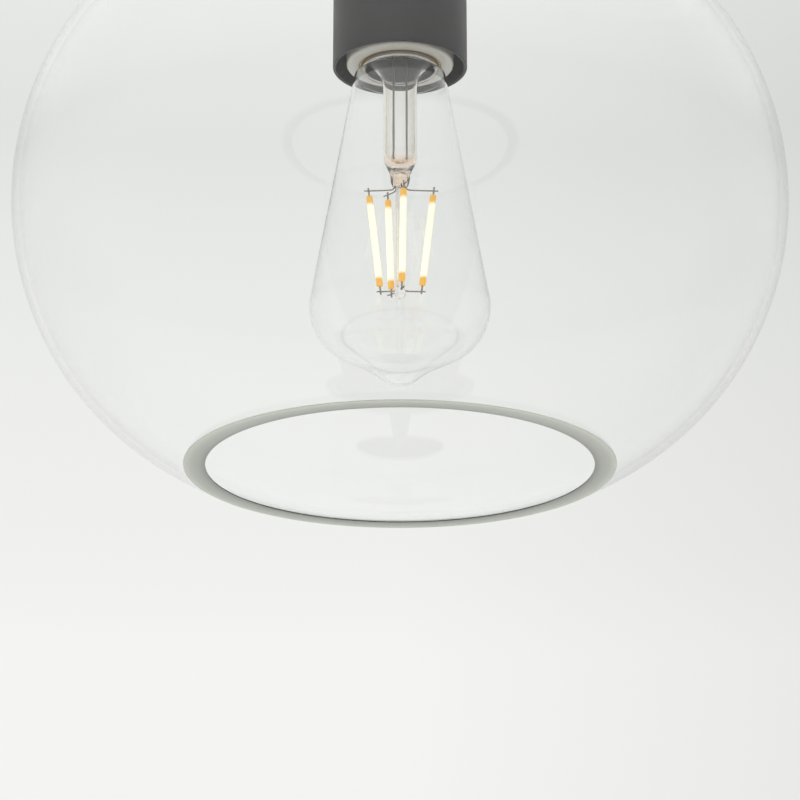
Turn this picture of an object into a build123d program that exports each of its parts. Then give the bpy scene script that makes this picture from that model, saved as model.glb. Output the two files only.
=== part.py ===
"""Pendant ceiling light: a clear open-mouthed glass globe on a two-piece rod, with its filament lamp.

Frame: millimetres, +Z up. The origin is the centre of the ceiling face, so the light hangs below it.
The rod tilts about the Y axis of a hang-straight swivel under the canopy.
"""

import os
from math import acos, asin, atan2, cos, radians, sin, sqrt, tan

from build123d import *

os.makedirs("parts", exist_ok=True)

# ---------------------------------------------------------------- clearances
running_gap = 0.06  # radial, between a shaft and its bore
thread_gap = 0.05  # radial, between the plain stand-ins of a screw and its nut
seat_gap = 0.25  # between faces that turn past each other

# ---------------------------------------------------------------- canopy and its fixings
canopy_radius = 63.5
canopy_height = 25.0
canopy_wall = 1.2
canopy_corner_radius = 6.0
strap_length = 118.0
strap_width = 22.0
strap_thickness = 2.0
box_slot_pitch = 79.4
box_slot_length = 15.6
box_slot_width = 4.8
wire_window_width = 17.0
wire_window_length = 30.0
stud_radius = 2.0
stud_pitch = 106.0
lock_nut_across_flats = 8.7
lock_nut_height = 3.2
cap_nut_radius = 4.6
cap_nut_dome_radius = 3.9
cap_nut_height = 9.0
ground_screw_radius = 2.0
ground_screw_x = 25.5

# ---------------------------------------------------------------- hang-straight swivel
seat_flange_radius = 14.5
seat_flange_thickness = 3.0
seat_neck_radius = 8.0
seat_neck_height = 9.0
seat_hole_clearance = 0.2
tooth_washer_radius = 11.5
tooth_washer_thickness = 0.8
tooth_count = 12
seat_nut_across_flats = 20.0
seat_nut_height = 4.0
spigot_radius = 6.0
spigot_bore_radius = 3.7
clip_thickness = 0.8
clip_width = 2.6
clip_groove_depth = 0.7
yoke_radius = 12.5
yoke_head_height = 8.0
yoke_slot_width = 16.4
yoke_ear_length = 20.0
knuckle_radius = 8.0
knuckle_length_below_pivot = 16.0
knuckle_bore_radius = 4.4
pivot_depth_in_slot = 11.0
pivot_shank_radius = 2.0
pivot_head_radius = 3.6
pivot_head_height = 1.6
set_screw_radius = 1.5

# ---------------------------------------------------------------- rods and nipples
rod_radius = 6.35
rod_bore_radius = 5.0
rod_length = 152.4
rod_socket_depth = 10.0
rod_end_chamfer = 0.5
nipple_bore_radius = 3.5
rod_nipple_length = 24.0
lamp_nipple_in_rod = 12.0

# ---------------------------------------------------------------- glass globe
globe_radius = 130.0
globe_side_arc_radius = 101.0
globe_crown_arc_radius = 167.0
globe_wall = 2.8
globe_mouth_radius = 70.2
globe_rim_break = 0.35
globe_hole_radius = 7.0

# ---------------------------------------------------------------- glass clamp
cover_radius = 34.0
cover_height = 17.0
cover_neck_radius = 9.5
cover_wall = 1.3
gasket_thickness = 1.0
outer_gasket_width = 5.0
inner_gasket_radius = 20.0

# ---------------------------------------------------------------- lampholder
cup_radius = 23.0
cup_wall = 1.2
cup_length = 52.0
cup_corner_radius = 3.0
bracket_thickness = 1.2
bracket_width = 12.0
bracket_drop = 11.0
bracket_foot = 7.0
nipple_nut_across_flats = 14.0
nipple_nut_height = 3.2
lock_washer_thickness = 0.8
holder_radius = 19.0
holder_length = 38.0
holder_web = 9.0
screw_shell_radius = 13.3
screw_shell_wall = 0.45
contact_strip_width = 5.0
contact_strip_thickness = 0.6
terminal_head_radius = 3.0
terminal_head_height = 1.9
terminal_shank_radius = 1.4
hot_terminal_x = -8.0
neutral_terminal_x = 12.0

# ---------------------------------------------------------------- lamp
lamp_length = 141.0
cap_radius = 13.05
cap_wall = 0.4
cap_thread_pitch = 25.4 / 7
cap_thread_turns = 5
cap_skirt_height = 2.4
insulator_height = 4.6
contact_height = 2.2
contact_radius = 4.8
bulb_neck_radius = 12.3
bulb_shoulder_radius = 15.6
bulb_shoulder_drop = 2.0
bulb_cone_length = 80.6
bulb_cone_end_radius = 29.85
bulb_belly_arc_radius = 18.5
bulb_base_angle = 25.3
bulb_tip_arc_radius = 8.8
bulb_tip_blend_radius = 51.0
bulb_wall = 0.8
stem_tube_radius = 5.65
stem_wall = 0.9
stem_tube_length = 35.6
press_length = 9.5
press_width = 6.8
press_thickness = 3.2
exhaust_radius = 1.5
exhaust_bore_radius = 0.8
exhaust_bead_radius = 2.0
exhaust_length = 38.2
# Where each filament stands about the axis: its angle, its radius at the top and its radius at the bottom.
filament_places = ((3, 11.5, 7.1), (135, 6.4, 4.4), (177, 10.8, 6.4), (285, 6.2, 3.9))
filament_length = 38.3
filament_tab_length = 3.0
filament_radius = 1.1
tab_width = 0.7
tab_thickness = 0.3
support_wire_radius = 0.25
support_wire_overhang = 1.4
lead_in_radius = 0.35
board_radius = 11.2
board_thickness = 1.0

# ---------------------------------------------------------------- wiring
lead_radius = 1.1
lead_spacing = 2.7
lead_flex_gap = 4.5
connector_radius = 4.6
connector_length = 17.0
connector_start_y = 20.0

# ---------------------------------------------------------------- levels, worked out from the ceiling down
canopy_floor = -canopy_height
canopy_inside_floor = canopy_floor + canopy_wall
seat_bottom = canopy_floor - seat_flange_thickness
seat_top = canopy_floor + seat_neck_height
yoke_top = seat_bottom - seat_gap
slot_roof = yoke_top - yoke_head_height
pivot_z = slot_roof - pivot_depth_in_slot
knuckle_bottom = pivot_z - knuckle_length_below_pivot
upper_rod_top = knuckle_bottom + rod_socket_depth
upper_rod_bottom = upper_rod_top - rod_length
lower_rod_top = upper_rod_bottom
lower_rod_bottom = lower_rod_top - rod_length
cover_top = lower_rod_bottom
cover_rim = cover_top - cover_height

# The globe's outline is an oval: a side arc on each side, joined by a flatter crown arc over the top.
side_arc_centre = globe_radius - globe_side_arc_radius
arc_radius_step = globe_crown_arc_radius - globe_side_arc_radius
crown_arc_offset = sqrt(arc_radius_step**2 - side_arc_centre**2)
globe_half_height = globe_crown_arc_radius - crown_arc_offset
oval_joint_angle = atan2(crown_arc_offset, side_arc_centre)


def crown_drop(radius, inset=0.0):
    """How far the glass has dropped from its apex at this radius, on a surface inset from the outside."""
    arc = globe_crown_arc_radius - inset
    return arc - sqrt(arc**2 - radius**2)


globe_apex = cover_rim - gasket_thickness + crown_drop(cover_radius - outer_gasket_width)
globe_centre_z = globe_apex - globe_half_height
mouth_drop = sqrt(globe_side_arc_radius**2 - (globe_mouth_radius - side_arc_centre) ** 2)
mouth_z = globe_centre_z - mouth_drop
glass_underside = globe_apex - globe_wall

cup_top = glass_underside - gasket_thickness - crown_drop(inner_gasket_radius, globe_wall)
cup_inside_top = cup_top - cup_wall
cup_bottom = cup_top - cup_length
bracket_bottom = cup_inside_top - bracket_thickness
washer_bottom = bracket_bottom - lock_washer_thickness
nipple_nut_bottom = washer_bottom - nipple_nut_height
nipple_bottom = nipple_nut_bottom - 1.0
holder_top = cup_inside_top - bracket_drop - bracket_thickness
holder_bottom = holder_top - holder_length
holder_ceiling = holder_top - holder_web

strip_drop = 2.1
strip_bottom = holder_ceiling - strip_drop - contact_strip_thickness
lamp_top = strip_bottom - 0.1
lamp_tip = lamp_top - lamp_length
insulator_top = lamp_top - contact_height
cap_top = insulator_top - insulator_height
cap_thread_length = cap_thread_pitch * cap_thread_turns
cap_bottom = cap_top - cap_thread_length - cap_skirt_height
neck_top = cap_bottom + cap_skirt_height - 0.2
neck_bottom = cap_bottom - 0.4


def save(part, name):
    """Labels a finished piece and writes it as one STEP file."""
    part.label = name
    export_step(part, f"parts/{name}.step")


def write_tube(name, outer, inner, low, high):
    """A plain tube or washer about the Z axis."""
    with BuildPart() as piece:
        with BuildSketch(Plane.XY.offset(low)):
            Circle(outer)
            Circle(inner, mode=Mode.SUBTRACT)
        extrude(amount=high - low)
    save(piece.part, name)


def write_hex_nuts(name, across_flats, bore, low, high, spots=((0, 0),)):
    """Hexagon nuts with their corners chamfered on both faces, one nut at each spot on the X axis."""
    flat = across_flats / 2
    corner = across_flats / sqrt(3)
    with BuildPart() as nuts:
        with BuildSketch(Plane.XY.offset(low)):
            with Locations(*spots):
                RegularPolygon(flat, 6, major_radius=False)
                Circle(bore, mode=Mode.SUBTRACT)
        extrude(amount=high - low)
        for x, y in spots:
            for level, rise in ((low, tan(radians(30))), (high, -tan(radians(30)))):
                with BuildSketch(Plane.XZ.shift_origin((x, 0, level))):
                    with BuildLine():
                        reach = corner + 1
                        Polyline((flat, 0), (reach, 0), (reach, (reach - flat) * rise), close=True)
                    make_face()
                revolve(axis=Axis((x, y, 0), (0, 0, 1)), mode=Mode.SUBTRACT)
    save(nuts.part, name)


def dome_middle(radius, rise):
    """The point halfway along a spherical dome of this rim radius and rise, from the rim's centre."""
    sphere = (radius**2 + rise**2) / (2 * rise)
    half = asin(min(1.0, radius / sphere)) / 2
    return sphere * sin(half), rise - sphere * (1 - cos(half))


def write_cable(name, points, radii, radius):
    """An insulated conductor along straight runs joined by arcs."""
    with BuildPart() as cable:
        with BuildLine():
            route = FilletPolyline(*points, radius=radii)
        with BuildSketch(Plane(origin=route @ 0, z_dir=route % 0)):
            Circle(radius)
        sweep()
    save(cable.part, name)


# ================================================================ canopy group
def write_mounting_strap():
    """Flat steel bar with two slots for the outlet-box screws and a window for the wires."""
    with BuildPart() as strap:
        with BuildSketch(Plane.XY.offset(-strap_thickness)):
            SlotOverall(strap_length, strap_width)
            with Locations((-box_slot_pitch / 2, 0), (box_slot_pitch / 2, 0)):
                SlotOverall(box_slot_length, box_slot_width, mode=Mode.SUBTRACT)
            with Locations((-stud_pitch / 2, 0), (stud_pitch / 2, 0)):
                Circle(stud_radius + thread_gap, mode=Mode.SUBTRACT)
            RectangleRounded(wire_window_length, wire_window_width - 3, 4, mode=Mode.SUBTRACT)
            with Locations((ground_screw_x, 0)):
                Circle(ground_screw_radius + thread_gap, mode=Mode.SUBTRACT)
        extrude(amount=strap_thickness)
    save(strap.part, "mounting_strap")


def write_ground_screw():
    """Hexagon washer-head screw, driven into the strap from below."""
    head_radius = 4.0
    head_height = 2.2
    length = 1.4
    with BuildPart() as screw:
        with BuildSketch(Plane.XY.offset(-strap_thickness - head_height)):
            with Locations((ground_screw_x, 0)):
                RegularPolygon(head_radius * 0.8, 6)
        extrude(amount=head_height)
        with BuildSketch(Plane.XY.offset(-strap_thickness - 0.6)):
            with Locations((ground_screw_x, 0)):
                Circle(head_radius)
        extrude(amount=0.6)
        with BuildSketch(Plane.XY.offset(-strap_thickness)):
            with Locations((ground_screw_x, 0)):
                Circle(ground_screw_radius)
        extrude(amount=length)
        with BuildSketch(Plane.XY.offset(-strap_thickness - head_height)):
            with Locations((ground_screw_x, 0)):
                Rectangle(head_radius * 1.1, 0.9)
        extrude(amount=0.9, mode=Mode.SUBTRACT)
    save(screw.part, "ground_screw")


stud_spots = ((-stud_pitch / 2, 0), (stud_pitch / 2, 0))
stud_bottom = canopy_floor - cap_nut_height * 0.6


def write_canopy_studs():
    """Two long machine screws that carry the canopy below the strap."""
    with BuildPart() as studs:
        with BuildSketch(Plane.XY.offset(stud_bottom)):
            with Locations(*stud_spots):
                Circle(stud_radius)
        extrude(amount=-stud_bottom - 0.3)
    save(studs.part, "canopy_studs")


def write_canopy():
    """Spun steel cup with a rolled lower edge, a centre hole and two stud holes."""
    with BuildPart() as canopy:
        with BuildSketch(Plane.XY.offset(canopy_floor)):
            Circle(canopy_radius)
        extrude(amount=canopy_height)
        fillet(canopy.faces().sort_by(Axis.Z)[0].edges(), canopy_corner_radius)
        offset(amount=-canopy_wall, openings=canopy.faces().sort_by(Axis.Z)[-1])
        with BuildSketch(Plane.XY.offset(canopy_floor)):
            Circle(seat_neck_radius + seat_hole_clearance)
            with Locations(*stud_spots):
                Circle(stud_radius + seat_hole_clearance)
        extrude(amount=canopy_wall, mode=Mode.SUBTRACT)
    save(canopy.part, "canopy")


def write_canopy_cap_nuts():
    """Domed nuts that hold the canopy up against the ceiling; each has a flange and a blind thread."""
    dome = cap_nut_dome_radius
    dome_start = dome - cap_nut_height
    middle_x, middle_rise = dome_middle(dome, dome)
    with BuildPart() as nuts:
        for x, y in stud_spots:
            with BuildSketch(Plane.XZ.shift_origin((x, y, canopy_floor))):
                with BuildLine():
                    Polyline(
                        (0, 0),
                        (cap_nut_radius, 0),
                        (cap_nut_radius, -1.2),
                        (dome, -1.9),
                        (dome, dome_start),
                    )
                    ThreePointArc(
                        (dome, dome_start), (middle_x, dome_start - middle_rise), (0, -cap_nut_height)
                    )
                    Line((0, -cap_nut_height), (0, 0))
                make_face()
            revolve(axis=Axis((x, y, 0), (0, 0, 1)))
        with BuildSketch(Plane.XY.offset(stud_bottom - 0.4)):
            with Locations(*stud_spots):
                Circle(stud_radius + thread_gap)
        extrude(amount=canopy_floor - stud_bottom + 0.4, mode=Mode.SUBTRACT)
    save(nuts.part, "canopy_cap_nuts")


# ================================================================ swivel
def write_swivel_seat():
    """Flanged bush that clamps in the canopy and carries the yoke's spigot."""
    with BuildPart() as seat:
        with BuildSketch(Plane.XY.offset(seat_bottom)):
            Circle(seat_flange_radius)
        extrude(amount=seat_flange_thickness)
        chamfer(seat.faces().sort_by(Axis.Z)[0].edges(), 0.8)
        with BuildSketch(Plane.XY.offset(canopy_floor)):
            Circle(seat_neck_radius)
        extrude(amount=seat_neck_height)
        with BuildSketch(Plane.XY.offset(seat_bottom)):
            Circle(spigot_radius + running_gap)
        extrude(amount=seat_flange_thickness + seat_neck_height, mode=Mode.SUBTRACT)
    save(seat.part, "swivel_seat")


def write_tooth_washer():
    """External-tooth lock washer that bites the canopy."""
    with BuildPart() as washer:
        with BuildSketch(Plane.XY.offset(canopy_inside_floor)):
            Circle(tooth_washer_radius)
            with PolarLocations(tooth_washer_radius, tooth_count):
                Rectangle(2.6, 1.9, mode=Mode.SUBTRACT)
            Circle(seat_neck_radius + thread_gap, mode=Mode.SUBTRACT)
        extrude(amount=tooth_washer_thickness)
    save(washer.part, "seat_tooth_washer")


clip_bottom = seat_top + 0.15
clip_top = clip_bottom + clip_thickness
spigot_top = clip_top + 1.3


def write_swivel_yoke():
    """Round fork: a hollow spigot turns in the seat, and two ears carry the knuckle's pivot."""
    ear_bottom = slot_roof - yoke_ear_length
    ear_round = yoke_ear_length - pivot_depth_in_slot
    with BuildPart() as yoke:
        with BuildSketch(Plane.XY.offset(ear_bottom)):
            Circle(yoke_radius)
        extrude(amount=yoke_top - ear_bottom)
        chamfer(yoke.faces().sort_by(Axis.Z)[-1].edges(), 0.8)
        # The slot between the ears.
        with BuildSketch(Plane.XY.offset(ear_bottom)):
            Rectangle(2 * yoke_radius, yoke_slot_width)
        extrude(amount=yoke_ear_length, mode=Mode.SUBTRACT)
        # The ears are rounded about the pivot.
        with BuildSketch(Plane.XZ.shift_origin((0, 0, pivot_z))) as ear_outline:
            Rectangle(2 * yoke_radius, yoke_top - pivot_z, align=(Align.CENTER, Align.MIN))
            Circle(ear_round)
            with Locations((0, yoke_top - pivot_z)):
                Rectangle(2 * yoke_radius, 2 * yoke_radius, align=(Align.CENTER, Align.MIN))
        extrude(amount=yoke_radius, both=True, mode=Mode.INTERSECT)
        # The spigot, its clip groove and the wireway.
        with BuildSketch(Plane.XY.offset(yoke_top)):
            Circle(spigot_radius)
        extrude(amount=spigot_top - yoke_top)
        with BuildSketch(Plane.XY.offset(clip_bottom - 0.1)):
            Circle(spigot_radius + 1)
            Circle(spigot_radius - clip_groove_depth, mode=Mode.SUBTRACT)
        extrude(amount=clip_thickness + 0.2, mode=Mode.SUBTRACT)
        with BuildSketch(Plane.XY.offset(slot_roof)):
            Circle(spigot_bore_radius)
        extrude(amount=spigot_top - slot_roof, mode=Mode.SUBTRACT)
        # Pivot holes with counterbores for the screw heads.
        for side in (-1, 1):
            outside = Plane.XZ.offset(-side * yoke_radius)
            with BuildSketch(outside):
                with Locations((0, pivot_z)):
                    Circle(pivot_shank_radius + running_gap)
            extrude(amount=side * yoke_radius, mode=Mode.SUBTRACT)
            with BuildSketch(outside):
                with Locations((0, pivot_z)):
                    Circle(pivot_head_radius + running_gap)
            extrude(amount=side * (pivot_head_height + 0.3), mode=Mode.SUBTRACT)
    save(yoke.part, "swivel_yoke")


def write_yoke_clip():
    """Snap ring in the spigot's groove; it keeps the yoke from dropping out of the seat."""
    groove_radius = spigot_radius - clip_groove_depth + 0.08
    with BuildPart() as clip:
        with BuildSketch(Plane.XY.offset(clip_bottom)):
            Circle(groove_radius + clip_width)
            Circle(groove_radius, mode=Mode.SUBTRACT)
            with Locations((0, -groove_radius - clip_width / 2)):
                Rectangle(5, clip_width * 2, mode=Mode.SUBTRACT)
        extrude(amount=clip_thickness)
    save(clip.part, "yoke_clip")


def write_swivel_knuckle():
    """Hollow eye between the ears, with a socket for the rod and a set screw hole."""
    with BuildPart() as knuckle:
        with BuildSketch(Plane.XY.offset(knuckle_bottom)):
            Circle(knuckle_radius)
        extrude(amount=pivot_z - knuckle_bottom + knuckle_radius)
        chamfer(knuckle.faces().sort_by(Axis.Z)[0].edges(), 0.8)
        with BuildSketch(Plane.XZ.shift_origin((0, 0, pivot_z))):
            Circle(knuckle_radius)
            Rectangle(
                2 * knuckle_radius,
                pivot_z - knuckle_bottom,
                align=(Align.CENTER, Align.MAX),
            )
        extrude(amount=knuckle_radius, both=True, mode=Mode.INTERSECT)
        with BuildSketch(Plane.XY.offset(knuckle_bottom)):
            Circle(knuckle_bore_radius)
        extrude(amount=pivot_z - knuckle_bottom + knuckle_radius, mode=Mode.SUBTRACT)
        with BuildSketch(Plane.XY.offset(knuckle_bottom)):
            Circle(rod_radius + thread_gap)
        extrude(amount=rod_socket_depth, mode=Mode.SUBTRACT)
        # The channel lets the leads stay upright while the knuckle tilts under them.
        with BuildSketch(Plane.YZ.shift_origin((0, 0, pivot_z))):
            Rectangle(2 * knuckle_bore_radius, knuckle_radius + 1, align=(Align.CENTER, Align.MIN))
        extrude(amount=knuckle_radius, both=True, mode=Mode.SUBTRACT)
        with BuildSketch(Plane.XZ.shift_origin((0, 0, pivot_z))):
            Circle(pivot_shank_radius + thread_gap)
        extrude(amount=knuckle_radius, both=True, mode=Mode.SUBTRACT)
        with BuildSketch(Plane.YZ):
            with Locations((0, knuckle_bottom + rod_socket_depth / 2)):
                Circle(set_screw_radius + thread_gap)
        extrude(amount=knuckle_radius, mode=Mode.SUBTRACT)
    save(knuckle.part, "swivel_knuckle")


def write_pivot_screws():
    """Two slotted shoulder screws, one through each ear into the knuckle."""
    head_outside = yoke_radius - 0.3
    shank_end = knuckle_bore_radius + 0.3
    with BuildPart() as screws:
        for side in (-1, 1):
            outside = Plane.XZ.offset(-side * head_outside)
            with BuildSketch(outside):
                with Locations((0, pivot_z)):
                    Circle(pivot_head_radius)
            extrude(amount=side * pivot_head_height)
            with BuildSketch(outside):
                with Locations((0, pivot_z)):
                    Circle(pivot_shank_radius)
            extrude(amount=side * (head_outside - shank_end))
            with BuildSketch(outside):
                with Locations((0, pivot_z)):
                    Rectangle(2 * pivot_head_radius, 0.8)
            extrude(amount=side * 0.7, mode=Mode.SUBTRACT)
    save(screws.part, "pivot_screws")


def write_knuckle_set_screw():
    """Headless screw that stops the rod from unscrewing."""
    screw_z = knuckle_bottom + rod_socket_depth / 2
    with BuildPart() as screw:
        with BuildSketch(Plane.YZ.offset(rod_radius)):
            with Locations((0, screw_z)):
                Circle(set_screw_radius)
        extrude(amount=knuckle_radius - rod_radius - 0.2)
        with BuildSketch(Plane.YZ.offset(knuckle_radius - 0.2)):
            with Locations((0, screw_z)):
                RegularPolygon(0.8, 6)
        extrude(amount=-0.8, mode=Mode.SUBTRACT)
    save(screw.part, "knuckle_set_screw")


# ================================================================ rods
def write_rod(name, low, high):
    """Steel tube, threaded inside at both ends, with chamfered outer edges."""
    with BuildPart() as rod:
        with BuildSketch(Plane.XY.offset(low)):
            Circle(rod_radius)
        extrude(amount=high - low)
        chamfer(rod.faces().filter_by(Axis.Z).edges(), rod_end_chamfer)
        with BuildSketch(Plane.XY.offset(low)):
            Circle(rod_bore_radius)
        extrude(amount=high - low, mode=Mode.SUBTRACT)
    save(rod.part, name)


# ================================================================ glass and its clamp
def oval_half(inset, lowest):
    """Right half of the globe's outline, from the top hole to the mouth, inset from the outside."""
    side = globe_side_arc_radius - inset
    crown = globe_crown_arc_radius - inset
    crown_centre_z = globe_centre_z - crown_arc_offset
    hole = (globe_hole_radius, crown_centre_z + sqrt(crown**2 - globe_hole_radius**2))
    joint = (
        side_arc_centre + side * cos(oval_joint_angle),
        globe_centre_z + side * sin(oval_joint_angle),
    )
    mouth = (side_arc_centre + sqrt(side**2 - (globe_centre_z - lowest) ** 2), lowest)
    bow_angle = (radians(90) + oval_joint_angle) / 2
    bow = (crown * cos(bow_angle), crown_centre_z + crown * sin(bow_angle))
    ThreePointArc(hole, bow, joint)
    ThreePointArc(joint, (side_arc_centre + side, globe_centre_z), mouth)
    return hole, mouth


def write_glass_globe():
    """Blown oval globe with a drilled top hole and a mouth cut flat, its two edges broken by grinding."""
    with BuildPart() as globe:
        with BuildSketch(Plane.XZ):
            with BuildLine():
                edge_z = mouth_z + globe_rim_break
                hole_outer, edge_outer = oval_half(0.0, edge_z)
                hole_inner, edge_inner = oval_half(globe_wall, edge_z)
                Line(hole_outer, hole_inner)
                Polyline(
                    edge_outer,
                    (edge_outer[0] - 2 * globe_rim_break, mouth_z),
                    (edge_inner[0] + globe_rim_break, mouth_z),
                    edge_inner,
                )
            make_face()
        revolve(axis=Axis.Z)
    save(globe.part, "glass_globe")


def write_glass_cover():
    """Spun dish between the rod and the glass: a narrow neck that flares to a rim over the gasket."""
    flare_top = cover_height - 4
    rim_height = 2.2

    def flare(inset, low_radius, low):
        neck = (cover_neck_radius - inset, flare_top)
        waist = (neck[0] + 0.36 * (cover_radius - cover_neck_radius), cover_height / 3 - inset * 0.8)
        rim = (low_radius, low)
        ThreePointArc(neck, waist, rim)
        return neck, rim

    with BuildPart() as cover:
        with BuildSketch(Plane.XZ.shift_origin((0, 0, cover_rim))):
            with BuildLine():
                neck, rim = flare(0.0, cover_radius, rim_height)
                Polyline(
                    neck,
                    (cover_neck_radius, cover_height - 1.5),
                    (cover_neck_radius - 1.5, cover_height),
                    (0, cover_height),
                    (0, 0),
                    (cover_radius, 0),
                    rim,
                )
            make_face()
        revolve(axis=Axis.Z)
        with BuildSketch(Plane.XZ.shift_origin((0, 0, cover_rim))):
            with BuildLine():
                inner_rim = cover_radius - outer_gasket_width + 0.5
                neck, rim = flare(cover_wall, inner_rim, 1.0)
                Polyline(
                    neck,
                    (cover_neck_radius - cover_wall, cover_height - 2.4),
                    (0, cover_height - 2.4),
                    (0, 0),
                    (inner_rim, 0),
                    rim,
                )
            make_face()
        revolve(axis=Axis.Z, mode=Mode.SUBTRACT)
        with BuildSketch(Plane.XY.offset(cover_rim)):
            Circle(rod_bore_radius + thread_gap)
        extrude(amount=cover_height, mode=Mode.SUBTRACT)
    save(cover.part, "glass_cover")


def write_outer_gasket():
    """Silicone ring with a flat top for the cover and an underside that follows the glass."""
    inner = cover_radius - outer_gasket_width
    outer = cover_radius - 0.4
    middle = (inner + outer) / 2
    with BuildPart() as gasket:
        with BuildSketch(Plane.XZ.shift_origin((0, 0, globe_apex))):
            with BuildLine():
                inner_low = (inner, -crown_drop(inner))
                outer_low = (outer, -crown_drop(outer))
                flat = cover_rim - globe_apex
                ThreePointArc(inner_low, (middle, -crown_drop(middle)), outer_low)
                Polyline(outer_low, (outer, flat), (inner, flat), inner_low)
            make_face()
        revolve(axis=Axis.Z)
    save(gasket.part, "outer_gasket")


def write_inner_gasket():
    """Silicone washer under the glass, with a lip that centres the nipple in the glass hole."""
    bore = rod_bore_radius + thread_gap
    lip = globe_hole_radius - 0.1
    outer = inner_gasket_radius

    def underside(radius):
        return glass_underside - crown_drop(radius, globe_wall)

    with BuildPart() as gasket:
        with BuildSketch(Plane.XZ):
            with BuildLine():
                Polyline(
                    (lip, underside(lip)),
                    (outer, underside(outer)),
                    (outer, cup_top),
                    (bore, cup_top),
                    (bore, globe_apex - 0.3),
                    (lip, globe_apex - 0.3),
                    (lip, underside(lip)),
                )
            make_face()
        revolve(axis=Axis.Z)
    save(gasket.part, "inner_gasket")


# ================================================================ lampholder
def write_socket_cup():
    """Deep-drawn metal cup that hides the lampholder."""
    with BuildPart() as cup:
        with BuildSketch(Plane.XY.offset(cup_bottom)):
            Circle(cup_radius)
        extrude(amount=cup_length)
        fillet(cup.faces().sort_by(Axis.Z)[-1].edges(), cup_corner_radius)
        offset(amount=-cup_wall, openings=cup.faces().sort_by(Axis.Z)[0])
        with BuildSketch(Plane.XY.offset(cup_inside_top)):
            Circle(rod_bore_radius + thread_gap)
        extrude(amount=cup_wall, mode=Mode.SUBTRACT)
    save(cup.part, "socket_cup")


bracket_leg_y = holder_radius - 3.0
bracket_screw_y = bracket_leg_y - bracket_thickness - terminal_head_radius * 0.85 - 0.4


def write_holder_bracket():
    """Bent strip: its bridge is clamped under the cup's top, and its feet are screwed to the holder."""
    half = bracket_thickness / 2
    high = cup_inside_top - half
    low = holder_top + half
    with BuildPart() as bracket:
        with BuildSketch(Plane.YZ):
            with BuildLine():
                FilletPolyline(
                    (-bracket_leg_y + bracket_foot, low),
                    (-bracket_leg_y, low),
                    (-bracket_leg_y, high),
                    (bracket_leg_y, high),
                    (bracket_leg_y, low),
                    (bracket_leg_y - bracket_foot, low),
                    radius=1.2,
                )
            trace(line_width=bracket_thickness)
        extrude(amount=bracket_width / 2, both=True)
        with BuildSketch(Plane.XY.offset(holder_top)):
            with Locations((0, -bracket_screw_y), (0, bracket_screw_y)):
                Circle(terminal_shank_radius + running_gap)
        extrude(amount=bracket_thickness, mode=Mode.SUBTRACT)
        with BuildSketch(Plane.XY.offset(bracket_bottom)):
            Circle(rod_bore_radius + thread_gap)
        extrude(amount=bracket_thickness, mode=Mode.SUBTRACT)
    save(bracket.part, "holder_bracket")


def write_pan_screws(name, spots, seat_z, head_radius, head_height, shank_radius, depth):
    """Slotted pan-head screws standing on a level, with their shanks going down."""
    with BuildPart() as screws:
        with BuildSketch(Plane.XY.offset(seat_z)):
            with Locations(*spots):
                Circle(head_radius)
        extrude(amount=head_height)
        chamfer(screws.faces().group_by(Axis.Z)[-1].edges(), head_height * 0.35)
        with BuildSketch(Plane.XY.offset(seat_z - depth)):
            with Locations(*spots):
                Circle(shank_radius)
        extrude(amount=depth)
        with BuildSketch(Plane.XY.offset(seat_z + head_height * 0.5)):
            with Locations(*spots):
                Rectangle(2 * head_radius, 0.7)
        extrude(amount=head_height, mode=Mode.SUBTRACT)
    save(screws.part, name)


terminal_spots = ((hot_terminal_x, 0), (neutral_terminal_x, 0))
bracket_screw_spots = ((0, -bracket_screw_y), (0, bracket_screw_y))
bracket_screw_depth = 6.0


def write_holder_body():
    """Glazed porcelain lampholder: a thick web over a bore for the screw shell."""
    with BuildPart() as body:
        with BuildSketch(Plane.XY.offset(holder_bottom)):
            Circle(holder_radius)
        extrude(amount=holder_length)
        chamfer(body.faces().sort_by(Axis.Z)[-1].edges(), 1.6)
        chamfer(body.faces().sort_by(Axis.Z)[0].edges(), 1.0)
        with BuildSketch(Plane.XY.offset(holder_bottom)):
            Circle(screw_shell_radius + screw_shell_wall + thread_gap)
        extrude(amount=holder_length - holder_web, mode=Mode.SUBTRACT)
        with BuildSketch(Plane.XY.offset(holder_ceiling)):
            with Locations(*terminal_spots):
                Circle(terminal_shank_radius + thread_gap)
        extrude(amount=holder_web, mode=Mode.SUBTRACT)
        with BuildSketch(Plane.XY.offset(holder_top - bracket_screw_depth - 0.5)):
            with Locations(*bracket_screw_spots):
                Circle(terminal_shank_radius + thread_gap)
        extrude(amount=bracket_screw_depth + 0.5, mode=Mode.SUBTRACT)
    save(body.part, "holder_body")


shell_flange_inner = neutral_terminal_x - terminal_shank_radius - 0.2
shell_flange_z = holder_ceiling - 0.5


def write_screw_shell():
    """Thin brass shell that takes the lamp's thread; its flange meets the neutral screw."""
    with BuildPart() as shell:
        with BuildSketch(Plane.XY.offset(holder_bottom + 0.5)):
            Circle(screw_shell_radius + screw_shell_wall)
            Circle(screw_shell_radius, mode=Mode.SUBTRACT)
        extrude(amount=holder_ceiling - holder_bottom - 0.5)
        with BuildSketch(Plane.XY.offset(shell_flange_z)):
            Circle(screw_shell_radius + screw_shell_wall)
            Circle(shell_flange_inner, mode=Mode.SUBTRACT)
        extrude(amount=holder_ceiling - shell_flange_z)
    save(shell.part, "screw_shell")


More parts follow.
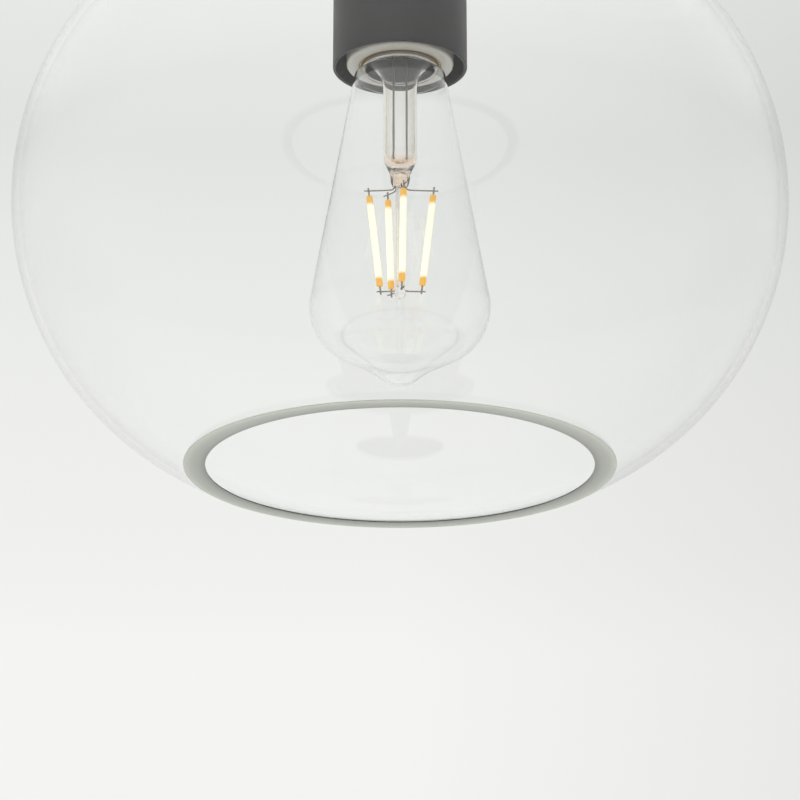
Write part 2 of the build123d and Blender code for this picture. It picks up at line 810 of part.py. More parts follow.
def write_centre_contact():
    """Springy brass strip from the hot screw to the middle of the lamp's contact."""
    half = contact_strip_thickness / 2
    with BuildPart() as strip:
        with BuildSketch(Plane.XZ.shift_origin((0, 0, holder_ceiling))):
            with BuildLine():
                FilletPolyline(
                    (hot_terminal_x - 1.8, -half),
                    (hot_terminal_x + 2.4, -half),
                    (-2.4, -strip_drop - half),
                    (2.6, -strip_drop - half),
                    radius=0.8,
                )
            trace(line_width=contact_strip_thickness)
        extrude(amount=contact_strip_width / 2, both=True)
    save(strip.part, "centre_contact")


# ================================================================ lamp
def belly_arc_centre():
    """Centre of the belly arc, square to the end of the cone."""
    slope = atan2(bulb_cone_end_radius - bulb_shoulder_radius, bulb_cone_length)
    cone_end_z = neck_bottom - bulb_shoulder_drop - bulb_cone_length
    return (
        bulb_cone_end_radius - bulb_belly_arc_radius * cos(slope),
        cone_end_z - bulb_belly_arc_radius * sin(slope),
        slope,
    )


def envelope_outline(inset):
    """Outline of the envelope from its neck to its tip: cone, belly arc, base cone, blend and tip arc.

    Every piece is tangent to the next, so an inset outline has the same centres and angles.
    """
    centre_r, centre_z, slope = belly_arc_centre()
    base = radians(bulb_base_angle)
    belly = bulb_belly_arc_radius - inset
    tip = bulb_tip_arc_radius - inset
    blend = bulb_tip_blend_radius + inset
    cone_start = (
        bulb_shoulder_radius - inset * cos(slope),
        neck_bottom - bulb_shoulder_drop - inset * sin(slope),
    )
    cone_end = (centre_r + belly * cos(slope), centre_z + belly * sin(slope))
    base_start = (centre_r + belly * sin(base), centre_z - belly * cos(base))
    tip_centre_z = lamp_tip + bulb_tip_arc_radius
    reach = (blend + (tip_centre_z - base_start[1]) * cos(base) + base_start[0] * sin(base)) / (tip + blend)
    steepest = base + acos(reach)
    tip_start = (tip * sin(steepest), tip_centre_z - tip * cos(steepest))
    base_end = (
        tip_start[0] + blend * (sin(steepest) - sin(base)),
        tip_start[1] + blend * (cos(base) - cos(steepest)),
    )
    blend_middle = (steepest + base) / 2
    blend_point = (
        tip_start[0] + blend * (sin(steepest) - sin(blend_middle)),
        tip_start[1] + blend * (cos(blend_middle) - cos(steepest)),
    )
    neck = bulb_neck_radius - inset
    Line((neck, neck_top), (neck, neck_bottom))
    Line((neck, neck_bottom), cone_start)
    Line(cone_start, cone_end)
    belly_angle = (slope - (radians(90) - base)) / 2
    ThreePointArc(
        cone_end,
        (centre_r + belly * cos(belly_angle), centre_z + belly * sin(belly_angle)),
        base_start,
    )
    Line(base_start, base_end)
    ThreePointArc(base_end, blend_point, tip_start)
    ThreePointArc(
        tip_start,
        (tip * sin(steepest / 2), tip_centre_z - tip * cos(steepest / 2)),
        (0, tip_centre_z - tip),
    )
    return (neck, neck_top), (0, tip_centre_z - tip)


def write_bulb_envelope():
    """Clear teardrop envelope with a seal-off tip."""
    with BuildPart() as envelope:
        with BuildSketch(Plane.XZ):
            with BuildLine():
                neck_outer, tip_outer = envelope_outline(0.0)
                neck_inner, tip_inner = envelope_outline(bulb_wall)
                Line(neck_outer, neck_inner)
                Line(tip_outer, tip_inner)
            make_face()
        revolve(axis=Axis.Z)
    save(envelope.part, "bulb_envelope")


flare_top = neck_top - 0.5
flare_radius = bulb_neck_radius - bulb_wall - 0.1
tube_bottom = flare_top - stem_tube_length
press_bottom = tube_bottom - press_length
exhaust_bottom = press_bottom - exhaust_length
upper_wire_z = press_bottom - 1.0
filament_top = upper_wire_z + 1.2
lower_wire_z = filament_top - filament_length + 0.9


def write_glass_stem():
    """Flare, tube, flattened press and exhaust tube, drawn from one piece of glass."""
    inner = stem_tube_radius - stem_wall
    flare_bottom = flare_top - 10
    with BuildPart() as stem:
        with BuildSketch(Plane.XZ):
            with BuildLine():
                Polyline(
                    (flare_radius, flare_top),
                    (stem_tube_radius + 1.6, flare_top - 4),
                    (stem_tube_radius, flare_bottom),
                    (stem_tube_radius, tube_bottom),
                    (press_width / 2, tube_bottom - 4),
                    (0, tube_bottom - 4),
                    (0, tube_bottom - 1.5),
                    (inner, tube_bottom + 1.5),
                    (inner, flare_bottom),
                    (inner + 1.6, flare_top - 3.4),
                    (flare_radius, flare_top + stem_wall * 0.6),
                    close=True,
                )
            make_face()
        revolve(axis=Axis.Z)
        with BuildSketch(Plane.XY.offset(tube_bottom - 3.5)):
            RectangleRounded(press_width, press_width * 0.8, 1.4)
        with BuildSketch(Plane.XY.offset(press_bottom)):
            RectangleRounded(press_width * 0.62, press_thickness, 1.2)
        loft()
        with BuildSketch(Plane.XY.offset(exhaust_bottom)):
            Circle(exhaust_radius)
        extrude(amount=exhaust_length + 1)
        with Locations((0, 0, exhaust_bottom + 0.4)):
            Sphere(exhaust_bead_radius)
        with BuildSketch(Plane.XY.offset(exhaust_bottom + 3)):
            Circle(exhaust_bore_radius)
        extrude(amount=exhaust_length - 3, mode=Mode.SUBTRACT)
    save(stem.part, "glass_stem")


def polar_point(circle, angle, z):
    """A point on a circle about the lamp's axis."""
    return (circle * cos(radians(angle)), circle * sin(radians(angle)), z)


def write_radial_wires(name, start, circle_index, z):
    """One bare nickel wire for one end of each filament, from the stem outwards."""
    with BuildPart() as wires:
        for place in filament_places:
            angle = place[0]
            reach = place[circle_index] + support_wire_overhang
            inner_end = Vector(*polar_point(start, angle, z))
            with BuildSketch(Plane(origin=inner_end, z_dir=Vector(*polar_point(1, angle, 0)))):
                Circle(support_wire_radius)
            extrude(amount=reach - start)
    save(wires.part, name)


def filament_frames():
    """The origin and direction of each filament, from its top end down, with the wire clear behind it."""
    for angle, top_circle, bottom_circle in filament_places:
        top = Vector(*polar_point(top_circle, angle, filament_top))
        bottom = Vector(*polar_point(bottom_circle, angle, filament_top - filament_length))
        radial = Vector(*polar_point(1, angle, 0))
        along = (bottom - top).normalized()
        sideways = along.cross(radial).normalized()
        shift = sideways * (support_wire_radius + tab_thickness / 2 + 0.02)
        yield Plane(origin=top + shift, x_dir=sideways, z_dir=along), (bottom - top).length


def write_filaments():
    """Four phosphor-coated LED rods that lean in towards the bottom."""
    with BuildPart() as rods:
        for frame, length in filament_frames():
            with BuildSketch(frame.offset(filament_tab_length)):
                Circle(filament_radius)
            extrude(amount=length - 2 * filament_tab_length)
    save(rods.part, "filaments")


def write_filament_tabs():
    """Flat metal ends of the filaments, welded to the wires."""
    with BuildPart() as tabs:
        for frame, length in filament_frames():
            for start in (0, length - filament_tab_length):
                with BuildSketch(frame.offset(start)):
                    Rectangle(tab_thickness, tab_width)
                extrude(amount=filament_tab_length)
    save(tabs.part, "filament_tabs")


def write_lead_in_wires():
    """Two wires from the driver board down the stem tube to the press."""
    wire_seat = 0.25
    with BuildPart() as wires:
        with BuildSketch(Plane.XY.offset(tube_bottom + wire_seat)):
            with Locations((-2.2, 0), (2.2, 0)):
                Circle(lead_in_radius)
        extrude(amount=board_z - tube_bottom - wire_seat)
    save(wires.part, "lead_in_wires")


board_z = cap_bottom + cap_skirt_height + 6.0


def write_driver_board():
    """Round board in the cap with a capacitor, a coil and the rectifier."""
    with BuildPart() as board:
        with BuildSketch(Plane.XY.offset(board_z)):
            Circle(board_radius)
        extrude(amount=board_thickness)
        with BuildSketch(Plane.XY.offset(board_z + board_thickness)):
            with Locations((-4, 0)):
                Circle(3.2)
        extrude(amount=8.5)
        with BuildSketch(Plane.XY.offset(board_z + board_thickness)):
            with Locations((5, 3)):
                Circle(2.4)
            with Locations((4.6, -4)):
                Rectangle(4.6, 4)
        extrude(amount=3.0)
    save(board.part, "driver_board")


def write_lamp_cap():
    """Screw cap, plain in place of its thread, with a shoulder that takes the insulator."""
    shoulder_radius = 11.4
    shoulder_height = 1.2
    with BuildPart() as cap:
        with BuildSketch(Plane.XZ):
            with BuildLine():
                Polyline(
                    (cap_radius, cap_bottom),
                    (cap_radius, cap_top),
                    (shoulder_radius, cap_top + shoulder_height),
                    (shoulder_radius - cap_wall, cap_top + shoulder_height - cap_wall),
                    (cap_radius - cap_wall, cap_top - cap_wall),
                    (cap_radius - cap_wall, cap_bottom),
                    close=True,
                )
            make_face()
        revolve(axis=Axis.Z)
    save(cap.part, "lamp_cap")


def write_cap_insulator():
    """Black glass cone that keeps the contact apart from the cap."""
    low = cap_top + 1.25
    with BuildPart() as insulator:
        with BuildSketch(Plane.XZ):
            with BuildLine():
                Polyline(
                    (0, low),
                    (11.3, low),
                    (11.3, low + 0.6),
                    (contact_radius + 1.6, insulator_top),
                    (0, insulator_top),
                    (0, low),
                )
            make_face()
        revolve(axis=Axis.Z)
    save(insulator.part, "cap_insulator")


def write_cap_contact():
    """Domed eyelet at the very end of the cap."""
    rim = contact_height * 0.4
    middle_x, middle_rise = dome_middle(contact_radius, contact_height - rim)
    with BuildPart() as contact:
        with BuildSketch(Plane.XZ.shift_origin((0, 0, insulator_top))):
            with BuildLine():
                Polyline((0, 0), (contact_radius, 0), (contact_radius, rim))
                ThreePointArc((contact_radius, rim), (middle_x, rim + middle_rise), (0, contact_height))
                Line((0, contact_height), (0, 0))
            make_face()
        revolve(axis=Axis.Z)
    save(contact.part, "cap_contact")


# ================================================================ wiring
lead_turn_z = spigot_top + lead_radius + 1.4
connector_z = canopy_inside_floor + connector_radius + 0.05


def write_wiring():
    """Hot and neutral leads: one pair in the rods, one pair from the swivel to the wire connectors."""
    half = lead_spacing / 2
    rod_lead_top = pivot_z - lead_flex_gap
    canopy_lead_low = pivot_z + lead_flex_gap
    terminal_z = holder_top + lead_radius + 0.15
    turn_z = nipple_bottom - 1.5
    for name, side, terminal_x in (("hot", -1, hot_terminal_x), ("neutral", 1, neutral_terminal_x)):
        x = side * half
        wire_end = terminal_x - side * (terminal_head_radius + lead_radius * 0.5)
        write_cable(
            f"{name}_rod_lead",
            [(x, 0, rod_lead_top), (x, 0, turn_z), (wire_end, 0, terminal_z)],
            1.8,
            lead_radius,
        )
        write_cable(
            f"{name}_canopy_lead",
            [
                (x, 0, canopy_lead_low),
                (x, 0, lead_turn_z),
                (x, side * (spigot_radius + 3), lead_turn_z),
                (x, side * (connector_start_y - 5), connector_z),
                (x, side * connector_start_y, connector_z),
            ],
            2.0,
            lead_radius,
        )


def write_wire_connectors():
    """Two twist-on connectors lying on the canopy's floor, one on each lead."""
    with BuildPart() as connectors:
        for side in (-1, 1):
            base = Plane(
                origin=(side * lead_spacing / 2, side * connector_start_y, connector_z),
                x_dir=(1, 0, 0),
                z_dir=(0, side, 0),
            )
            with BuildSketch(base):
                Circle(connector_radius)
            with BuildSketch(base.offset(connector_length)):
                Circle(connector_radius * 0.62)
            loft()
    save(connectors.part, "wire_connectors")


# ================================================================ build
write_mounting_strap()
write_ground_screw()
write_canopy_studs()
write_hex_nuts(
    "stud_lock_nuts",
    lock_nut_across_flats,
    stud_radius + thread_gap,
    -strap_thickness - lock_nut_height,
    -strap_thickness,
    stud_spots,
)
write_canopy()
write_canopy_cap_nuts()
write_swivel_seat()
write_tooth_washer()
write_hex_nuts(
    "seat_hex_nut",
    seat_nut_across_flats,
    seat_neck_radius + thread_gap,
    canopy_inside_floor + tooth_washer_thickness,
    canopy_inside_floor + tooth_washer_thickness + seat_nut_height,
)
write_swivel_yoke()
write_yoke_clip()
write_swivel_knuckle()
write_pivot_screws()
write_knuckle_set_screw()
write_rod("upper_rod", upper_rod_bottom, upper_rod_top)
write_rod("lower_rod", lower_rod_bottom, lower_rod_top)
write_tube(
    "rod_nipple",
    rod_bore_radius - thread_gap,
    nipple_bore_radius,
    upper_rod_bottom - rod_nipple_length / 2,
    upper_rod_bottom + rod_nipple_length / 2,
)
write_tube(
    "lamp_nipple",
    rod_bore_radius - thread_gap,
    nipple_bore_radius,
    nipple_bottom,
    lower_rod_bottom + lamp_nipple_in_rod,
)
write_glass_cover()
write_outer_gasket()
write_glass_globe()
write_inner_gasket()
write_socket_cup()
write_holder_bracket()
write_tube(
    "nipple_lock_washer",
    nipple_nut_across_flats / 2,
    rod_bore_radius + thread_gap,
    washer_bottom,
    bracket_bottom,
)
write_hex_nuts(
    "nipple_hex_nut",
    nipple_nut_across_flats,
    rod_bore_radius + thread_gap,
    nipple_nut_bottom,
    washer_bottom,
)
write_pan_screws(
    "bracket_screws",
    bracket_screw_spots,
    holder_top + bracket_thickness,
    terminal_head_radius * 0.85,
    terminal_head_height,
    terminal_shank_radius,
    bracket_thickness + bracket_screw_depth,
)
write_pan_screws(
    "terminal_screws",
    terminal_spots,
    holder_top,
    terminal_head_radius,
    terminal_head_height,
    terminal_shank_radius,
    holder_web,
)
write_holder_body()
write_screw_shell()
write_centre_contact()
write_lamp_cap()
write_cap_insulator()
write_cap_contact()
write_driver_board()
write_bulb_envelope()
write_glass_stem()
write_lead_in_wires()
write_radial_wires(
    "upper_support_wires",
    exhaust_radius + 0.05,
    1,
    upper_wire_z,
)
write_radial_wires(
    "lower_support_wires",
    exhaust_bead_radius + 0.05,
    2,
    lower_wire_z,
)
write_filaments()
write_filament_tabs()
write_wiring()
write_wire_connectors()
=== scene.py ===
"""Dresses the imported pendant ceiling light: glass, lamp, lampholder, rods, swivel, canopy and a pale stage.

Every length is in metres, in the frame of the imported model: the origin is the centre of the ceiling face,
and +Z is up.
"""

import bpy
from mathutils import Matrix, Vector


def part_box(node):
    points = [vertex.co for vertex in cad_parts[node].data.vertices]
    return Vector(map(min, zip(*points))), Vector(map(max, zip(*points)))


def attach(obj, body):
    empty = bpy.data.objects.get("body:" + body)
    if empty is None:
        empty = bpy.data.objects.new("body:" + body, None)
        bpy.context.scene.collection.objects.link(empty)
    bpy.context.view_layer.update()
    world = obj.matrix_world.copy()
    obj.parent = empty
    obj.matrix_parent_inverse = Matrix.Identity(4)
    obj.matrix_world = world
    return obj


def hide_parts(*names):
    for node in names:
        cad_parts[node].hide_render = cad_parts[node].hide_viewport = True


bl_info = {
    "name": "Pendant Ceiling Light",
    "version": (1, 0, 0),
    "blender": (4, 5, 0),
    "location": "View3D > Sidebar > Pendant Light",
    "description": "Builds the finished pieces of a rod-hung pendant light with a glass globe",
    "category": "Object",
}

from math import acos, asin, atan2, copysign, cos, pi, radians, sin, sqrt

import bpy
from bpy.props import FloatProperty, FloatVectorProperty, IntProperty, PointerProperty
from mathutils import Vector

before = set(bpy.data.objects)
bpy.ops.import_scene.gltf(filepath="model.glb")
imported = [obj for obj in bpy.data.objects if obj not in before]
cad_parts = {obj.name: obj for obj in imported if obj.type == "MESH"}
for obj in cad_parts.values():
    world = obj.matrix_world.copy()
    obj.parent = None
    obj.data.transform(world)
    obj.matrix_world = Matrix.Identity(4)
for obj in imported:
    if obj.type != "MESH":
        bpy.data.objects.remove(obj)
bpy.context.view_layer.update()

MM = 0.001


def linear(code):
    """The linear colour of an sRGB hex value."""
    channels = [int(code[i : i + 2], 16) / 255 for i in (1, 3, 5)]
    return tuple(c / 12.92 if c <= 0.04045 else ((c + 0.055) / 1.055) ** 2.4 for c in channels)


def reach(node):
    """The lowest and highest Z of a CAD node, and its largest distance from the Z axis along X or Y."""
    low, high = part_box(node)
    return low.z, high.z, max(high.x, high.y, -low.x, -low.y)


# ---------------------------------------------------------------- sizes and colours
def length(name, description, millimetres):
    """A length property."""
    metres = millimetres * MM
    return FloatProperty(name=name, description=description, default=metres, min=0.0, unit="LENGTH")


def angle(name, description, degrees):
    """An angle property."""
    return FloatProperty(name=name, description=description, default=radians(degrees), unit="ROTATION")


def colour(name, description, code):
    """A colour property whose default is an sRGB hex value."""
    return FloatVectorProperty(
        name=name, description=description, default=linear(code), size=3, min=0.0, max=1.0, subtype="COLOR"
    )


class GlobeSizes(bpy.types.PropertyGroup):
    """Sizes of the glass globe."""

    radius: length("Radius", "Widest radius of the glass", 130.0)
    side_arc: length("Side arc", "Radius of the arc at each side of the outline", 101.0)
    crown_arc: length("Crown arc", "Radius of the flatter arc over the top", 167.0)
    wall: length("Wall", "Thickness of the glass", 2.8)
    mouth: length("Mouth", "Outer radius of the cut mouth", 70.2)
    rim_break: length("Rim break", "Ground break of the mouth's two edges", 0.35)
    hole: length("Hole", "Radius of the drilled top hole", 7.0)


class LampSizes(bpy.types.PropertyGroup):
    """Sizes of the filament lamp."""

    neck: length("Neck", "Radius of the neck", 12.3)
    neck_height: length("Neck height", "Height of the straight neck", 2.6)
    shoulder: length("Shoulder", "Radius where the cone starts under the cap", 15.6)
    cone_end: length("Cone end", "Radius where the cone runs into the belly", 29.85)
    cone_length: length("Cone length", "Height of the straight cone", 80.6)
    belly_arc: length("Belly arc", "Radius of the belly's arc", 18.5)
    base_angle: angle("Base angle", "Slope of the base cone", 25.3)
    tip_arc: length("Tip arc", "Radius of the sealed tip", 8.8)
    tip_blend: length("Tip blend", "Radius of the hollow curve above the tip", 51.0)
    wall: length("Wall", "Thickness of the lamp's glass", 0.6)
    cap_wall: length("Cap wall", "Sheet of the screw cap", 0.4)
    thread_pitch: length("Thread pitch", "Pitch of the rolled cap thread", 25.4 / 7)
    thread_depth: length("Thread depth", "Depth of the rolled cap thread", 0.75)
    thread_start: length("Thread start", "From the cap's lower edge to its thread", 2.4)
    stem_tube: length("Stem tube", "Radius of the stem's tube", 5.65)
    stem_wall: length("Stem wall", "Thickness of the stem's tube", 0.9)
    press: length("Press", "Height of the squeezed seal", 9.5)
    exhaust: length("Exhaust", "Radius of the exhaust tube", 1.5)
    exhaust_bore: length("Exhaust bore", "Bore radius of the exhaust tube", 0.8)
    bead: length("Bead", "Radius of the bead that closes the exhaust tube", 2.0)
    lead_in: length("Lead-in", "Radius of a lead-in wire", 0.35)
    lead_in_place: length("Lead-in place", "From the axis to a lead-in wire", 2.2)
    support: length("Support", "Radius of a support wire", 0.25)
    filament: length("Filament", "Radius of a coated filament", 1.1)
    tab: length("Tab", "Radius of a filament's metal end", 0.3)
    tab_length: length("Tab length", "Length of a filament's metal end", 3.0)


class HardwareSizes(bpy.types.PropertyGroup):
    """Sizes of the metal parts that the frame doesn't give."""

    sheet: length("Sheet", "Thickness of the spun canopy and cup", 1.2)
    canopy_corner: length("Canopy corner", "Rounding of the canopy's lower corner", 6.0)
    canopy_hole: length("Canopy hole", "Radius of the hole for the seat", 8.2)
    cup_corner: length("Cup corner", "Rounding of the cup's upper corner", 3.0)
    nipple_hole: length("Nipple hole", "Radius of the holes that a nipple goes through", 5.06)
    nipple_bore: length("Nipple bore", "Bore radius of the nipples", 3.5)
    cover_neck: length("Cover neck", "Radius of the cover's neck", 9.5)
    cover_wall: length("Cover wall", "Thickness of the cover", 1.3)
    gasket_hole: length("Gasket hole", "Inner radius of the gasket over the glass", 29.0)
    rod_chamfer: length("Rod chamfer", "Chamfer of the rod ends", 0.5)
    rod_bore: length("Rod bore", "Bore radius of the rods", 5.0)
    holder_bore: length("Holder bore", "Radius of the lampholder's well", 13.8)
    holder_web: length("Holder web", "Porcelain above the well", 9.0)
    seat_bore: length("Seat bore", "Bore radius of the swivel's seat", 6.06)
    seat_neck: length("Seat neck", "Radius of the seat above its flange", 8.0)
    seat_flange: length("Seat flange", "Thickness of the seat's flange", 3.0)
    cap_nut_flange: length("Cap nut flange", "Radius of a cap nut's flange", 4.6)
    cap_nut_dome: length("Cap nut dome", "Radius of a cap nut's dome", 3.9)
    stud: length("Stud", "Radius of a canopy stud", 2.0)
    connector_start: length("Connector start", "From the axis to a twist-on connector", 20.0)
    connector_shift: length("Connector shift", "Sideways place of a connector", 1.35)
    edge: length("Edge", "Rounding of machined edges", 0.35)
    facets: IntProperty(name="Facets", description="Faces round a spun piece", default=96, min=24, max=256)


class LightColours(bpy.types.PropertyGroup):
    """Colours of the finishes."""

    powder_coat: colour("Powder coat", "Satin black paint of the metal parts", "#1c1b1b")
    zinc: colour("Zinc", "Bright zinc plating", "#c9c9c4")
    brass: colour("Brass", "Contacts and terminals", "#c8a25e")
    porcelain: colour("Porcelain", "Glazed lampholder", "#ebe7dc")
    silicone: colour("Silicone", "Gaskets", "#dad9d2")
    glow: colour("Glow", "Lit filament", "#fffbe6")
    amber: colour("Amber", "Bare ends of a lit filament", "#dfa92c")
    ground_green: colour("Ground green", "Ground screw", "#2b6b3c")
    connector: colour("Connector", "Twist-on wire connectors", "#d9702b")


class StageSettings(bpy.types.PropertyGroup):
    """The floor, the backdrop and the camera."""

    floor_drop: length("Floor drop", "Distance from the ceiling face down to the floor", 3100.0)
    backdrop_distance: length("Backdrop distance", "From the light's axis to the backdrop", 5000.0)
    backdrop_top: length("Backdrop top", "Height of the backdrop above the ceiling face", 4000.0)
    cove: length("Cove", "Radius of the bend between floor and backdrop", 1500.0)
    camera_distance: length("Camera distance", "From the light's axis to the camera", 1000.0)
    camera_drop: length("Camera drop", "From the widest part of the globe down to the camera", 399.7)
    camera_pitch: angle("Camera pitch", "How far the camera looks up", 18.32)
    camera_lens: FloatProperty(name="Lens", description="Focal length in millimetres", default=143.7)
    backdrop: colour("Backdrop", "Paint of the floor and backdrop", "#e9ebe8")


class PendantLight(bpy.types.PropertyGroup):
    """All settings of the light."""

    globe: PointerProperty(type=GlobeSizes)
    lamp: PointerProperty(type=LampSizes)
    hardware: PointerProperty(type=HardwareSizes)
    colours: PointerProperty(type=LightColours)
    stage: PointerProperty(type=StageSettings)


# ---------------------------------------------------------------- outlines
def steps(start, *moves):
    """Outline points that lie so many millimetres outwards and upwards of a starting point."""
    return [(start[0] + out * MM, start[1] + up * MM) for out, up in moves]


def arc(centre, radius, start, end, count):
    """Points on an arc in the (radius, height) plane, without its first point."""
    angles = [start + (end - start) * i / count for i in range(1, count + 1)]
    return [(centre[0] + radius * cos(a), centre[1] + radius * sin(a)) for a in angles]


def rounded(corner, radius, start, end, count):
    """The quarter arc that rounds a corner of an outline."""
    middle = (start + end) / 2
    outwards, upwards = copysign(radius, cos(middle)), copysign(radius, sin(middle))
    return arc((corner[0] - outwards, corner[1] - upwards), radius, start, end, count)


def globe_levels(globe):
    """The globe's mouth level, the level of its widest part, and the centre and reach of its crown arc."""
    mouth_z = reach("glass_globe")[0]
    side_centre = globe.radius - globe.side_arc
    centre_z = mouth_z + sqrt(globe.side_arc**2 - (globe.mouth - side_centre) ** 2)
    arc_step = globe.crown_arc - globe.side_arc
    crown_offset = sqrt(arc_step**2 - side_centre**2)
    joint = atan2(crown_offset, side_centre)
    return mouth_z, centre_z, side_centre, crown_offset, joint


def globe_curve(globe, inset, lowest):
    """One surface of the glass, from the top hole down to a level near the mouth."""
    _, centre_z, side_centre, crown_offset, joint = globe_levels(globe)
    crown = globe.crown_arc - inset
    side = globe.side_arc - inset
    start = acos(globe.hole / crown)
    points = [(globe.hole, centre_z - crown_offset + crown * sin(start))]
    points += arc((0.0, centre_z - crown_offset), crown, start, joint, 36)
    points += arc((side_centre, centre_z), side, joint, asin((lowest - centre_z) / side), 84)
    return points


def envelope_curve(lamp, neck_top, tip_z, inset):
    """One surface of the lamp's envelope: neck, cone, belly arc, base cone, hollow blend and tip arc."""
    neck_bottom = neck_top - lamp.neck_height
    slope = atan2(lamp.cone_end - lamp.shoulder, lamp.cone_length)
    shoulder_z = neck_bottom - 2.0 * MM
    cone_end_z = shoulder_z - lamp.cone_length
    belly_centre = (lamp.cone_end - lamp.belly_arc * cos(slope), cone_end_z - lamp.belly_arc * sin(slope))
    base = lamp.base_angle
    belly, tip, blend = lamp.belly_arc - inset, lamp.tip_arc - inset, lamp.tip_blend + inset
    base_start = (belly_centre[0] + belly * sin(base), belly_centre[1] - belly * cos(base))
    tip_centre = tip_z + lamp.tip_arc
    span = (blend + (tip_centre - base_start[1]) * cos(base) + base_start[0] * sin(base)) / (tip + blend)
    steepest = base + acos(span)
    blend_centre = ((tip + blend) * sin(steepest), tip_centre - (tip + blend) * cos(steepest))
    points = [(lamp.neck - inset, neck_top), (lamp.neck - inset, neck_bottom)]
    points.append((lamp.shoulder - inset * cos(slope), shoulder_z - inset * sin(slope)))
    points += arc(belly_centre, belly, slope, slope, 1)
    points += arc(belly_centre, belly, slope, base - pi / 2, 40)
    points += arc(blend_centre, blend, pi / 2 + base, pi / 2 + steepest, 14)
    points += arc((0.0, tip_centre), tip, steepest - pi / 2, -pi / 2, 14)
    return points


# ---------------------------------------------------------------- modelling
def start_clean(*chosen):
    """Leaves edit mode and selects only the given objects, the first of them active."""
    if bpy.context.object and bpy.context.object.mode != "OBJECT":
        bpy.ops.object.mode_set(mode="OBJECT")
    bpy.ops.object.select_all(action="DESELECT")
    for piece in chosen:
        piece.select_set(True)
    if chosen:
        bpy.context.view_layer.objects.active = chosen[0]


def select_faces(piece, chosen):
    """Opens a piece in edit mode with only those faces selected that pass a test."""
    start_clean(piece)
    bpy.ops.object.mode_set(mode="EDIT")
    bpy.ops.mesh.select_mode(type="FACE")
    bpy.ops.mesh.select_all(action="DESELECT")
    bpy.ops.object.mode_set(mode="OBJECT")
    for index, face in enumerate(piece.data.polygons):
        face.select = chosen(index, face)
    bpy.ops.object.mode_set(mode="EDIT")


def close_up(piece, smooth_angle=30.0):
    """Merges doubles, turns the faces outwards, settles the piece at the origin and smooths it."""
    bpy.ops.mesh.select_all(action="SELECT")
    bpy.ops.mesh.remove_doubles(threshold=1e-7)
    bpy.ops.mesh.normals_make_consistent(inside=False)
    bpy.ops.object.mode_set(mode="OBJECT")
    bpy.ops.object.transform_apply(location=True, rotation=True, scale=True)
    bpy.ops.object.shade_smooth_by_angle(angle=radians(smooth_angle))
    return piece


def draw_outline(name, points, closed, at=(0.0, 0.0)):
    """Draws a primitive, collapsed to a point, out along an outline in the XZ plane; stays in edit mode."""
    start_clean()
    first = points[0]
    bpy.ops.mesh.primitive_plane_add(size=MM, location=(at[0] + first[0], at[1], first[1]))
    piece = bpy.context.object
    piece.name = name
    bpy.ops.object.mode_set(mode="EDIT")
    bpy.ops.mesh.select_mode(type="VERT")
    bpy.ops.mesh.select_all(action="SELECT")
    bpy.ops.mesh.merge(type="CENTER")
    route = list(points) + [first] if closed else list(points)
    for here, there in zip(route, route[1:]):
        move = (there[0] - here[0], 0.0, there[1] - here[1])
        bpy.ops.mesh.extrude_region_move(TRANSFORM_OT_translate={"value": move})
    bpy.ops.mesh.select_all(action="SELECT")
    bpy.ops.mesh.remove_doubles(threshold=1e-7)
    return piece


def spun(name, points, facets=96, closed=True, at=(0.0, 0.0), smooth_angle=30.0):
    """A turned piece: the outline spun about the vertical line through a point."""
    piece = draw_outline(name, points, closed, at)
    bpy.ops.mesh.spin(steps=facets, angle=2 * pi, center=(at[0], at[1], 0.0), axis=(0.0, 0.0, 1.0))
    return close_up(piece, smooth_angle)


def wound(name, profile, closed, pitch, turns, facets, at=(0.0, 0.0), smooth_angle=30.0):
    """A profile wound in a helix about a vertical line; a closed profile gets its end faces."""
    piece = draw_outline(name, profile, closed, at)
    bpy.ops.object.mode_set(mode="OBJECT")
    bpy.context.scene.cursor.location = (at[0], at[1], 0.0)
    bpy.ops.object.origin_set(type="ORIGIN_CURSOR")
    helix = piece.modifiers.new("helix", "SCREW")
    helix.angle = 2 * pi
    helix.screw_offset = pitch
    helix.iterations = turns
    helix.steps = helix.render_steps = facets
    helix.use_merge_vertices = True
    helix.merge_threshold = 1e-6
    bpy.ops.object.modifier_apply(modifier=helix.name)
    bpy.ops.object.mode_set(mode="EDIT")
    if closed:
        bpy.ops.mesh.select_all(action="SELECT")
        bpy.ops.mesh.fill_holes(sides=3)
    return close_up(piece, smooth_angle)


def straight_rod(name, start, end, radius, sides, rounding=0.3):
    """A thin rod between two points with rounded ends."""
    start_clean()
    start, end = Vector(start), Vector(end)
    turn = (end - start).to_track_quat("Z", "Y").to_euler()
    bpy.ops.mesh.primitive_cylinder_add(
        vertices=sides, radius=radius, depth=(end - start).length, location=(start + end) / 2, rotation=turn
    )
    piece = bpy.context.object
    piece.name = name
    select_faces(piece, lambda index, face: abs(face.normal.z) > 0.9)
    bpy.ops.mesh.bevel(offset=radius * rounding, segments=3)
    return close_up(piece)


def bent_wire(name, route, radius):
    """A thin wire that follows a smooth curve through its route, with closed ends."""
    start_clean()
    bpy.ops.curve.primitive_nurbs_path_add(location=(0.0, 0.0, 0.0))
    wire = bpy.context.object
    wire.name = name
    wire.data.splines.remove(wire.data.splines[0])
    line = wire.data.splines.new("NURBS")
    line.points.add(len(route) - 1)
    for point, spot in zip(line.points, route):
        point.co = (*spot, 1.0)
    line.order_u = 3
    line.use_endpoint_u = True
    wire.data.bevel_depth = radius
    wire.data.bevel_resolution = 2
    wire.data.resolution_u = 6
    wire.data.use_fill_caps = True
    bpy.ops.object.convert(target="MESH")
    bpy.ops.object.mode_set(mode="EDIT")
    return close_up(bpy.context.object, 50.0)


